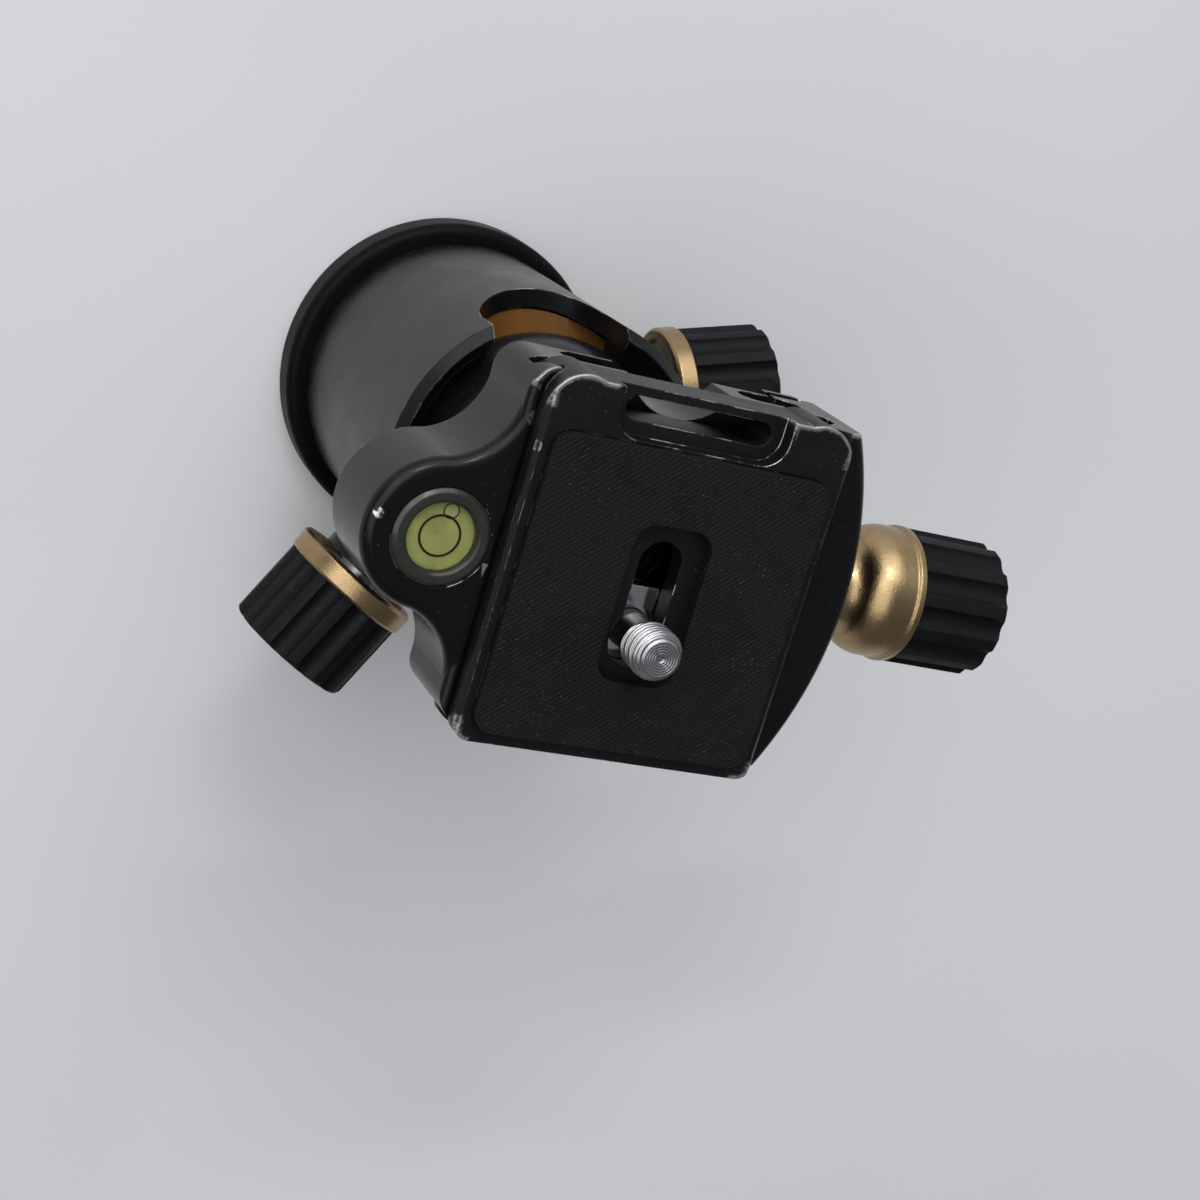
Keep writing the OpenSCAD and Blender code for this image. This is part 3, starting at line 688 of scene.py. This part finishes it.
@dataclass(frozen=True)
class Moulded(DustyFinish):
    """Moulded plastic or rubber, with an optional pattern of fine ribs, whose gaps carry painted
    shade and whose tops carry a painted highlight, or a dark rim that is painted shade.
    """

    tints: tuple[float, float] = (0.85, 1.15)
    gloss: tuple[float, float] = (-0.05, 0.06)
    dust_share: float = 0.3
    dust_colour: Colour4 = (0.4, 0.4, 0.4, 1.0)
    soften: float = 0.25 * MM
    grain: float = 7000.0
    relief: float = 0.8
    depth: float = 0.02 * MM
    scuff: float = 0.0
    scuff_colour: Colour4 = (0.12, 0.12, 0.12, 1.0)
    ribs: Ribs | None = None
    rim: PaintedEdgeShade | None = None

    def build(self, effects: Effects) -> bpy.types.Material:
        """Makes the material.

        Args:
            effects: the shared node groups.

        Returns:
            The new material.
        """
        tree = MaterialTree(self.name)
        edge = tree.group(effects.edge, {"Radius": self.soften})
        grain = tree.group(effects.grain, {"Scale": self.grain})
        height = grain["Height"]
        colour = self.tinted(tree, grain["Gloss"])
        # Darkens a ring round the bubble's edge as painted shade.
        if self.rim:
            low, high = (self.rim.radius * share for share in self.rim.span)
            line = tree.ramp(tree.radius_from(*self.rim.axis), low, high)
            colour = tree.mix(line, colour, self.rim.colour)
        if self.scuff:
            rubbed = tree.math("MULTIPLY", edge["Mask"], self.scuff)
            colour = tree.mix(rubbed, colour, self.scuff_colour)
        colour = self.dusted(tree, effects, colour)
        if self.ribs:
            values = {"Pitch": self.ribs.pitch, "Angle": self.ribs.angle}
            whole = tree.group(effects.ribs, values)["Height"]
            broken = tree.math("MULTIPLY", whole, tree.ramp(height, *self.ribs.breaks))
            height = tree.math("ADD", broken, tree.math("MULTIPLY", height, self.ribs.grain))
            # Painted shade in the rib gaps and a painted highlight on the ribs.
            colour = tree.scaled(colour, tree.ramp(broken, 0.0, 1.0, *self.ribs.painted_shade_and_highlight))
        tree.shade(
            {
                "Base Color": colour,
                "Roughness": self.rough(tree, grain["Gloss"]),
                "Specular IOR Level": self.specular,
                "Normal": tree.bump(height, edge["Normal"], self.relief, self.depth),
            }
        )
        return tree.material


@dataclass(frozen=True)
class ClearPart(Finish):
    """A thin clear part: light passes straight through and its face mirrors a little."""

    tints: tuple[float, float] = (0.95, 1.0)
    grain: float = 3000.0
    body: Colour4 = (0.02, 0.02, 0.02, 1.0)
    slant_blend: float = 0.3
    slant_power: float = 3.0
    slant_mirror: float = 0.6
    front_mirror: float = 0.05

    def build(self, effects: Effects) -> bpy.types.Material:
        """Makes the material.

        Args:
            effects: the shared node groups.

        Returns:
            The new material.
        """
        tree = MaterialTree(self.name)
        tree.shade({"Base Color": self.body, "Roughness": self.roughness})
        slow = tree.group(effects.grain, {"Scale": self.grain})["Gloss"]
        through = tree.add("ShaderNodeBsdfTransparent", {"Color": self.tinted(tree, slow)})
        facing = tree.add("ShaderNodeLayerWeight", {"Blend": self.slant_blend}).outputs["Facing"]
        slant = tree.math("POWER", facing, self.slant_power)
        share = tree.math("ADD", tree.math("MULTIPLY", slant, self.slant_mirror), self.front_mirror)
        shaders = {1: through.outputs[0], 2: tree.shader.outputs[0]}
        mixed = tree.add("ShaderNodeMixShader", {0: share, **shaders})
        tree.feed(tree.end, {"Surface": mixed.outputs[0]})
        return tree.material


class Look(Enum):
    """The finishes of the head, each worn by the pieces that share it."""

    BLACK_PAINT = CoatedMetal(
        "black_paint", (0.0042, 0.0043, 0.0052), 0.28, dust=0.1, specular=0.25
    )
    CLAMP_PAINT = CoatedMetal(
        "clamp_paint",
        (0.0042, 0.0043, 0.0052),
        0.21,
        dust=0.1,
        specular=0.21,
        chips=(
            Chip((-34.6 * MM, 1.5 * MM, 87.7 * MM), 0.75 * MM, 1000.0, lift=0.03),
            Chip((-20.6 * MM, 20.4 * MM, 87.6 * MM), 2.4 * MM, 1100.0),
            Chip((-20.4 * MM, 15.0 * MM, 88.0 * MM), 1.0 * MM, 1100.0),
            Chip((19.5 * MM, 20.4 * MM, 88.0 * MM), 1.6 * MM, 1100.0),
        ),
    )
    PLATE = CoatedMetal(
        "plate_anodise",
        (0.005, 0.0052, 0.0065),
        0.42,
        dust=0.2,
        specular=0.22,
        grain=12000.0,
        grain_depth=0.01 * MM,
        chips=(
            Chip((-18.8 * MM, 20.0 * MM, 90.5 * MM), 3.4 * MM, 1000.0),
            Chip((-15.2 * MM, 21.3 * MM, 90.5 * MM), 2.6 * MM, 1300.0),
            Chip((-20.3 * MM, 12.6 * MM, 90.3 * MM), 0.7 * MM, 1300.0),
            Chip((12.4 * MM, 21.3 * MM, 90.5 * MM), 3.6 * MM),
            Chip((16.2 * MM, 20.0 * MM, 90.5 * MM), 3.4 * MM),
            Chip((17.0 * MM, -21.4 * MM, 90.4 * MM), 2.2 * MM, 1300.0),
            Chip((-20.2 * MM, -21.0 * MM, 90.2 * MM), 2.2 * MM, 1300.0),
        ),
    )
    BASE_PAINT = CoatedMetal("base_paint", (0.0036, 0.0037, 0.0045), 0.4, dust=0.1, specular=0.06)
    GOLD = CoatedMetal(
        "gold_anodise",
        (0.37, 0.262, 0.138),
        0.27,
        metallic=1.0,
        wear=0.35,
        bare=(0.6, 0.53, 0.42),
        grain=4200.0,
        grain_depth=0.07 * MM,
    )
    CUP = Moulded("cup_acetal", (0.17, 0.074, 0.015), 0.34, grain=5000.0, depth=0.004 * MM)
    STEEL = TurnedMetal("plain_steel", (0.56, 0.56, 0.56), 0.28)
    SCREW = TurnedMetal(
        "bright_screw",
        (0.38, 0.38, 0.39),
        0.24,
        relief=0.9,
        depth=0.04 * MM,
        axis=SCREW_AXIS,
        # below 88 mm the screw is painted dark as shadow
        painted_shadow_below=88.0 * MM,
    )
    OXIDE = TurnedMetal("black_oxide", (0.02, 0.02, 0.021), 0.36)
    CHROME = TurnedMetal("bright_plating", (0.6, 0.6, 0.61), 0.12, relief=0.08)
    BRASS = TurnedMetal("brass", (0.7, 0.53, 0.26), 0.3)
    GRIP = Moulded(
        "grip_rubber", (0.0042, 0.0043, 0.0055), 0.5, scuff=0.08, dust=0.1, specular=0.15
    )
    PAD = Moulded(
        "pad_rubber",
        (0.0052, 0.0054, 0.0066),
        0.62,
        grain=4200.0,
        depth=0.06 * MM,
        # its ribs carry painted shade in their gaps and a painted highlight on top
        ribs=Ribs(0.53 * MM, math.radians(49)),
        dust=0.45,
        specular=0.2,
    )
    SEAT = Moulded("seat_acetal", (0.005, 0.005, 0.006), 0.3, specular=0.15)
    NYLON = Moulded("slip_nylon", (0.55, 0.53, 0.48), 0.5)
    VIAL = Moulded(
        "smoked_vial",
        (0.022, 0.024, 0.02),
        0.2,
        grain=2500.0,
        depth=0.004 * MM,
        soften=0.3 * MM,
    )
    LIQUID = Moulded("level_liquid", (0.43, 0.4, 0.17), 0.3, grain=1500.0, depth=0.002 * MM)
    BUBBLE = Moulded(
        "level_bubble",
        (0.5, 0.48, 0.26),
        0.15,
        grain=1500.0,
        depth=0.002 * MM,
        # a painted shaded edge round the bubble
        rim=PaintedEdgeShade((-26.35 * MM, 2.95 * MM), 0.95 * MM),
    )
    INK = Moulded("black_ink", (0.006, 0.005, 0.002), 0.4)
    PALE_INK = Moulded("pale_ink", (0.13, 0.13, 0.125), 0.6)
    WINDOW = ClearPart("level_window", (0.94, 0.97, 0.9), 0.03)


class Finishes:
    """Builds each finish once and puts it on objects."""

    def __init__(self) -> None:
        """Builds the shared effects."""
        self.effects = Effects()
        self.made: dict[Look, bpy.types.Material] = {}

    def put(self, obj: bpy.types.Object, look: Look) -> None:
        """Gives an object one finish.

        Args:
            obj: the object.
            look: the finish.
        """
        if look not in self.made:
            self.made[look] = look.value.build(self.effects)
        obj.data.materials.clear()
        obj.data.materials.append(self.made[look])


# ---- modelling helpers

MERGE = 1e-6  # points nearer than this become one
CUT_TOLERANCE = 1e-7  # the default is coarser than a thread's details
LATHE_STEPS = 96
SMOOTH_BELOW = math.radians(35)
SPARE = 1 * MM  # how far a tool or a blank reaches past what it shapes


def select_only(obj: bpy.types.Object) -> None:
    """Selects one object, makes it active and deselects the rest.

    Args:
        obj: the object.
    """
    bpy.ops.object.select_all(action="DESELECT")
    obj.select_set(True)
    bpy.context.view_layer.objects.active = obj


def apply_modifiers(obj: bpy.types.Object) -> None:
    """Applies every modifier of an object, in order.

    Args:
        obj: the object.
    """
    select_only(obj)
    for modifier in list(obj.modifiers):
        bpy.ops.object.modifier_apply(modifier=modifier.name)


def tidy_mesh(obj: bpy.types.Object) -> None:
    """Merges doubled points and turns all faces outwards.

    Args:
        obj: the object.
    """
    select_only(obj)
    bpy.ops.object.mode_set(mode="EDIT")
    bpy.ops.mesh.select_all(action="SELECT")
    bpy.ops.mesh.remove_doubles(threshold=MERGE)
    bpy.ops.mesh.normals_make_consistent(inside=False)
    bpy.ops.object.mode_set(mode="OBJECT")


def settle(obj: bpy.types.Object) -> None:
    """Puts an object's place into its mesh and shades its shallow angles smooth.

    Args:
        obj: the object.
    """
    select_only(obj)
    bpy.ops.object.transform_apply(location=True, rotation=True, scale=True)
    bpy.ops.object.shade_smooth_by_angle(angle=SMOOTH_BELOW)


def profile(name: str, outline: list[tuple[float, float]]) -> bpy.types.Object:
    """Draws an open line of (radius, height) points beside the Z axis.

    Args:
        name: the line's name.
        outline: its points.

    Returns:
        The line.
    """
    mesh = bpy.data.meshes.new(name)
    edges = [(i, i + 1) for i in range(len(outline) - 1)]
    mesh.from_pydata([(r, 0.0, z) for r, z in outline], edges, [])
    line = bpy.data.objects.new(name, mesh)
    bpy.context.scene.collection.objects.link(line)
    return line


def lathe(name: str, outline: list[tuple[float, float]]) -> bpy.types.Object:
    """Turns an outline of (radius, height) points round Z into a closed piece.

    Args:
        name: the piece's name.
        outline: the points, from the axis at one end to the axis at the other.

    Returns:
        The piece.
    """
    piece = profile(name, outline)
    select_only(piece)
    bpy.ops.object.mode_set(mode="EDIT")
    bpy.ops.mesh.select_all(action="SELECT")
    bpy.ops.mesh.spin(steps=LATHE_STEPS, angle=2 * math.pi, center=(0, 0, 0), axis=(0, 0, 1))
    bpy.ops.object.mode_set(mode="OBJECT")
    tidy_mesh(piece)
    return piece


def cut(piece: bpy.types.Object, tool: bpy.types.Object, how: str) -> None:
    """Joins, cuts or crops a piece with a tool, which is then removed.

    Args:
        piece: the piece that stays.
        tool: the closed piece that works on it.
        how: UNION, DIFFERENCE or INTERSECT.
    """
    modifier = piece.modifiers.new("work", "BOOLEAN")
    modifier.object = tool
    modifier.operation = how
    modifier.solver = "EXACT"
    apply_modifiers(piece)
    bpy.data.objects.remove(tool)


@dataclass(frozen=True)
class Thread:
    """A real helical 60 degree thread round Z. Shares are of its pitch."""

    outer: float
    pitch: float
    depth_share: float = 0.58
    crest_share: float = 0.12
    flank_share: float = 0.38
    steps: int = 48
    spare_turns: int = 2

    def build(self, name: str, low: float, high: float) -> bpy.types.Object:
        """Models the thread as a closed bar from low to high.

        Args:
            name: the piece's name.
            low: the height of its lower end.
            high: the height of its upper end.

        Returns:
            The threaded bar.
        """
        root = self.outer - self.pitch * self.depth_share
        crest, flank = self.pitch * self.crest_share, self.pitch * self.flank_share
        heights = (0.0, flank, flank + crest, 2 * flank + crest, self.pitch)
        radii = (root, self.outer, self.outer, root, root)
        bar = profile(name, [(r, low - self.pitch + h) for r, h in zip(radii, heights)])
        helix = bar.modifiers.new("helix", "SCREW")
        helix.axis = "Z"
        helix.screw_offset = self.pitch
        helix.iterations = math.ceil((high - low) / self.pitch) + self.spare_turns
        helix.steps = helix.render_steps = self.steps
        helix.use_merge_vertices = True
        helix.merge_threshold = MERGE
        apply_modifiers(bar)
        tidy_mesh(bar)
        bpy.ops.object.mode_set(mode="EDIT")
        for height, below in ((low, True), (high, False)):
            bpy.ops.mesh.select_all(action="SELECT")
            bpy.ops.mesh.bisect(
                plane_co=(0, 0, height),
                plane_no=(0, 0, 1),
                use_fill=True,
                clear_inner=below,
                clear_outer=not below,
                threshold=CUT_TOLERANCE,
            )
        bpy.ops.object.mode_set(mode="OBJECT")
        tidy_mesh(bar)
        return bar


# ---- the head


@dataclass
class SubAssembly:
    """A group of nodes and pieces that is dressed together."""

    frame: dict
    finishes: Finishes

    def dress(self, looks: dict[str, Look]) -> None:
        """Gives solids their finishes and reports it.

        Args:
            looks: each solid's node name to its finish.
        """
        for node, look in looks.items():
            self.finishes.put(self.frame["nodes"][node], look)
            log.info("node %s wears %s", node, look.value.name)

    def adopt(
        self, piece: bpy.types.Object, body: str, slot: str, look: Look, *replaced: str
    ) -> None:
        """Fastens a new piece to a body.

        Args:
            piece: the new piece.
            body: the body that it moves with.
            slot: the record's material slot. It is not used.
            look: its finish.
            replaced: the solids that it stands for.
        """
        settle(piece)
        self.finishes.put(piece, look)
        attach(piece, body)
        if replaced:
            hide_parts(*replaced)
        log.info("piece %s rides on %s, %d faces", piece.name, body, len(piece.data.polygons))


@dataclass
class PanBase(SubAssembly):
    """The base that the head turns on, with the bush that screws onto a tripod."""

    thread: Thread = Thread(outer=4.76 * MM, pitch=1.5875 * MM)
    bore: float = 4.0 * MM
    mouth: float = 5.3 * MM
    mouth_depth: float = 1.3 * MM
    cap: float = 1.5 * MM
    run_out: float = 0.3 * MM

    def build(self) -> None:
        """Dresses the base and models its bush."""
        self.dress(
            {
                "base_flange": Look.BASE_PAINT,
                "base_thread_bush": Look.STEEL,
                "pan_slip_ring": Look.NYLON,
                "pan_retaining_washer": Look.STEEL,
                "pan_retaining_screw": Look.STEEL,
            }
        )
        self._bush()

    def _bush(self) -> None:
        """Models the bush with its real thread and its countersunk mouth."""
        low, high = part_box("base_thread_bush")
        end = high.z - self.cap
        outline = [(0, end), (0, high.z), (high.x, high.z), (high.x, low.z), (self.mouth, low.z)]
        outline += [(self.bore, low.z + self.mouth_depth), (self.bore, end), (0, end)]
        bush = lathe("threaded_bush", outline)
        cut(bush, self.thread.build("tap", low.z - SPARE, end - self.run_out), "DIFFERENCE")
        self.adopt(bush, "base", "steel", Look.STEEL, "base_thread_bush")


@dataclass
class Housing(SubAssembly):
    """The housing that clamps the ball."""

    def build(self) -> None:
        """Dresses the housing and what it holds."""
        self.dress(
            {
                "ball_housing": Look.BLACK_PAINT,
                "lower_ball_cup": Look.CUP,
                "cup_spring_washer": Look.STEEL,
                "upper_ball_seat": Look.SEAT,
                "main_lock_plunger": Look.BRASS,
                "pan_lock_plunger": Look.BRASS,
                "ball": Look.BLACK_PAINT,
            }
        )


@dataclass
class LockKnobs(SubAssembly):
    """The main and pan lock knobs."""

    def build(self) -> None:
        """Dresses both knobs."""
        for name in ("main", "pan"):
            self.dress(
                {
                    f"{name}_lock_stud": Look.STEEL,
                    f"{name}_knob_ring": Look.GOLD,
                    f"{name}_knob_grip": Look.GRIP,
                }
            )


@dataclass
class Clamp(SubAssembly):
    """The clamp, its moving jaw and its knob."""

    mark_tip: tuple[float, float] = (-21.2 * MM, -3.6 * MM)
    mark_length: float = 1.6 * MM
    mark_width: float = 0.72 * MM
    mark_height: float = 0.03 * MM

    def build(self) -> None:
        """Dresses the clamp and adds its index mark."""
        self.dress(
            {
                "stem": Look.BLACK_PAINT,
                "clamp_body": Look.CLAMP_PAINT,
                "moving_jaw": Look.CLAMP_PAINT,
                "stem_screw": Look.OXIDE,
                "guide_pins": Look.STEEL,
                "clamp_lead_screw": Look.STEEL,
                "clamp_knob_hub": Look.GOLD,
                "clamp_knob_grip": Look.GRIP,
            }
        )
        self._mark()

    def _mark(self) -> None:
        """Adds the small pale triangle beside the plate, its tip towards -Y."""
        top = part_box("clamp_body")[1].z
        radius = self.mark_width / math.sqrt(3)
        # An even triangle is one and a half times as long as the radius of the circle round it.
        stretch = self.mark_length / (1.5 * radius)
        bpy.ops.object.select_all(action="DESELECT")
        bpy.ops.mesh.primitive_cylinder_add(vertices=3, radius=radius, depth=self.mark_height)
        mark = bpy.context.object
        mark.name = "index_mark"
        mark.rotation_euler = (0, 0, math.pi)
        mark.scale = (1.0, stretch, 1.0)
        x, y = self.mark_tip
        mark.location = (x, y + radius * stretch, top + self.mark_height / 2)
        self.adopt(mark, "clamp", "black_aluminium", Look.PALE_INK)


@dataclass
class BubbleLevel(SubAssembly):
    """The round level in the clamp's swell."""

    lens_height: float = 0.65 * MM
    rim_drop: float = 0.12 * MM
    bevel_width: float = 0.15 * MM
    bevel_drop: float = 0.03 * MM

    def build(self) -> None:
        """Dresses the level and models its lens."""
        self.dress(
            {
                "level_cup": Look.VIAL,
                "level_liquid": Look.LIQUID,
                "level_bubble": Look.BUBBLE,
                "level_target": Look.INK,
                "level_window": Look.WINDOW,
            }
        )
        self._lens()

    def _lens(self) -> None:
        """Models the lens, just clear of the target, with a bevelled rim and a faint dome."""
        low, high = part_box("level_window")
        radius = (high.x - low.x) / 2
        under, rim = high.z - self.lens_height, high.z - self.rim_drop
        bevel = (radius - self.bevel_width, high.z - self.bevel_drop)
        outline = [(0, under), (radius, under), (radius, rim), bevel, (0, high.z)]
        lens = lathe("level_lens", outline)
        lens.location = ((low.x + high.x) / 2, (low.y + high.y) / 2, 0.0)
        self.adopt(lens, "clamp", "clear_plastic", Look.WINDOW, "level_window")


@dataclass
class ReleasePlate(SubAssembly):
    """The sliding plate, its pad and its camera screw."""

    thread: Thread = Thread(outer=3.1 * MM, pitch=1.27 * MM)
    thread_length: float = 4.7 * MM
    thread_clearance: float = 0.2 * MM
    neck: float = 2.35 * MM
    neck_overlap: float = 0.6 * MM
    head_height: float = 2.3 * MM
    head_bevels: tuple[float, float] = (0.3 * MM, 0.2 * MM)
    tip_bevel: tuple[float, float] = (0.95 * MM, 1.4 * MM)
    dimple: tuple[float, float] = (0.5 * MM, 0.35 * MM)
    slot_width: float = 1.4 * MM
    slot_depth: float = 1.2 * MM

    def build(self) -> None:
        """Dresses the plate and models the camera screw."""
        self.dress(
            {
                "release_plate": Look.PLATE,
                "rubber_pad": Look.PAD,
                "stop_screws": Look.STEEL,
                "screw_retainer": Look.CHROME,
                "camera_screw": Look.SCREW,
            }
        )
        self._screw()

    def _screw(self) -> None:
        """Models the screw: a helical thread with a bevelled, dimpled tip, and a slotted head."""
        low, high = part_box("camera_screw")
        start = high.z - self.thread_length
        screw = self.thread.build("threaded_camera_screw", start, high.z + SPARE)
        cut(screw, self._crop(start, high.z), "INTERSECT")
        radius = (high.x - low.x) / 2
        cut(screw, self._shank(radius, low.z, start + self.neck_overlap), "UNION")
        bpy.ops.object.select_all(action="DESELECT")
        bpy.ops.mesh.primitive_cube_add(size=1.0, location=(0, 0, low.z))
        slot = bpy.context.object
        # It stands half below the head and reaches past both of its sides.
        slot.scale = (3 * radius, self.slot_width, 2 * self.slot_depth)
        settle(slot)
        cut(screw, slot, "DIFFERENCE")
        screw.location = (*SCREW_AXIS, 0.0)
        self.adopt(screw, "camera_screw", "bright_steel", Look.SCREW, "camera_screw")

    def _crop(self, start: float, top: float) -> bpy.types.Object:
        """Models the form that the thread is cropped to.

        Args:
            start: where the thread starts.
            top: the screw's tip.

        Returns:
            The closed form.
        """
        outer = self.thread.outer + self.thread_clearance
        bevel_width, bevel_height = self.tip_bevel
        dimple_radius, dimple_depth = self.dimple
        outline = [(0, start - SPARE), (outer, start - SPARE), (outer, top - bevel_height)]
        outline += [(self.thread.outer - bevel_width, top), (dimple_radius, top)]
        outline += [(0, top - dimple_depth)]
        return lathe("crop", outline)

    def _shank(self, radius: float, bottom: float, top: float) -> bpy.types.Object:
        """Models the screw's head and neck.

        Args:
            radius: the head's radius.
            bottom: the head's underside.
            top: the neck's upper end, inside the thread.

        Returns:
            The closed piece.
        """
        lower, upper = self.head_bevels
        head_top = bottom + self.head_height
        outline = [(0, bottom), (radius - lower, bottom), (radius, bottom + lower)]
        outline += [(radius, head_top - upper), (radius - upper, head_top)]
        outline += [(self.neck, head_top), (self.neck, top), (0, top)]
        return lathe("shank", outline)


# ---- studio


@dataclass(frozen=True)
class Lamp:
    """A soft rectangular lamp. Its power is in watts."""

    name: str
    at: tuple[float, float, float]
    aim: tuple[float, float, float]
    size: tuple[float, float]
    power: float

    def build(self) -> None:
        """Hangs the lamp and turns it to its aim."""
        data = bpy.data.lights.new(self.name, "AREA")
        data.shape = "RECTANGLE"
        data.size, data.size_y = self.size
        data.energy = self.power
        lamp = bpy.data.objects.new(self.name, data)
        lamp.location = self.at
        towards = Vector(self.aim) - Vector(self.at)
        lamp.rotation_euler = towards.to_track_quat("-Z", "Y").to_euler()
        bpy.context.scene.collection.objects.link(lamp)


@dataclass
class Studio:
    """The camera, the floor and the light."""

    camera_at: tuple[float, float, float] = (-118.5 * MM, 62.79 * MM, 317.07 * MM)
    camera_turn: tuple[float, float, float] = (-21.68, -20.7, 17.61)
    lens: float = 70.46
    sensor: float = 36.0
    clip_start: float = 0.01
    floor_size: float = 6.0
    floor_level: float = -0.02 * MM
    floor_colour: tuple[float, float, float] = (0.66, 0.665, 0.68)
    floor_tints: tuple[float, float] = (0.97, 1.03)
    floor_scale: float = 6.0
    floor_roughness: float = 0.6
    sky_colour: Colour4 = (0.93, 0.96, 1.0, 1.0)
    sky_span: tuple[float, float] = (-0.5, 0.8)
    sky_strengths: tuple[float, float] = (0.16, 0.5)
    backdrop: Colour4 = (0.66, 0.68, 0.7, 1.0)
    lamps: tuple[Lamp, ...] = (
        Lamp("window", (-0.4, 1.35, 0.95), (0, 0, 0.05), (2.4, 1.7), 21.0),
        Lamp("strip", (-0.34, 1.04, 1.0), (0, 0, 0.08), (0.4, 0.045), 3.2),
        Lamp("overhead", (-0.95, 0.1, 1.45), (0, 0, 0.03), (1.7, 1.7), 14.0),
    )

    def build(self) -> None:
        """Sets up everything that isn't the object."""
        scene = bpy.context.scene
        scene.view_settings.view_transform = "Standard"
        self._camera(scene)
        self._floor()
        self._world(scene)
        for lamp in self.lamps:
            lamp.build()

    def _camera(self, scene: bpy.types.Scene) -> None:
        """Adds the camera.

        Args:
            scene: the scene that it films.
        """
        data = bpy.data.cameras.new("camera")
        data.lens = self.lens
        data.sensor_width = self.sensor
        data.sensor_fit = "HORIZONTAL"
        data.clip_start = self.clip_start
        camera = bpy.data.objects.new("camera", data)
        camera.location = self.camera_at
        camera.rotation_euler = Euler([math.radians(a) for a in self.camera_turn], "XYZ")
        scene.collection.objects.link(camera)
        scene.camera = camera

    def _floor(self) -> None:
        """Adds a wide pale floor whose shade varies faintly."""
        bpy.ops.object.select_all(action="DESELECT")
        bpy.ops.mesh.primitive_plane_add(size=self.floor_size, location=(0, 0, self.floor_level))
        floor = bpy.context.object
        floor.name = "floor"
        tree = MaterialTree("pale_floor")
        pattern = tree.noise(tree.place(), self.floor_scale, detail=3.0)
        colour = tree.scaled(self.floor_colour, tree.vary(pattern, *self.floor_tints))
        tree.shade({"Base Color": colour, "Roughness": self.floor_roughness})
        floor.data.materials.append(tree.material)

    def _world(self, scene: bpy.types.Scene) -> None:
        """Adds a pale surrounding that is brighter on the window lamp's side.

        Args:
            scene: the scene.
        """
        world = bpy.data.worlds.new("surround")
        scene.world = world
        world.use_nodes = True
        world.node_tree.nodes.clear()
        tree = Tree(world.node_tree)
        around = tree.add("ShaderNodeTexCoord").outputs["Generated"]
        side = tree.add("ShaderNodeSeparateXYZ", {0: around}).outputs[1]
        strength = tree.ramp(side, *self.sky_span, *self.sky_strengths)
        sky = tree.add("ShaderNodeBackground", {"Color": self.sky_colour, "Strength": strength})
        seen = tree.add("ShaderNodeBackground", {"Color": self.backdrop, "Strength": 1.0})
        direct = tree.add("ShaderNodeLightPath").outputs["Is Camera Ray"]
        shaders = {0: direct, 1: sky.outputs[0], 2: seen.outputs[0]}
        mixed = tree.add("ShaderNodeMixShader", shaders)
        tree.add("ShaderNodeOutputWorld", {"Surface": mixed.outputs[0]})


def main() -> None:
    """Builds the studio and every sub-assembly in order."""
    logging.basicConfig(level=logging.INFO, format="%(name)s: %(message)s")
    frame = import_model()
    finishes = Finishes()
    Studio().build()
    for assembly in (PanBase, Housing, LockKnobs, Clamp, BubbleLevel, ReleasePlate):
        assembly(frame, finishes).build()


if __name__ == "__main__":
    main()
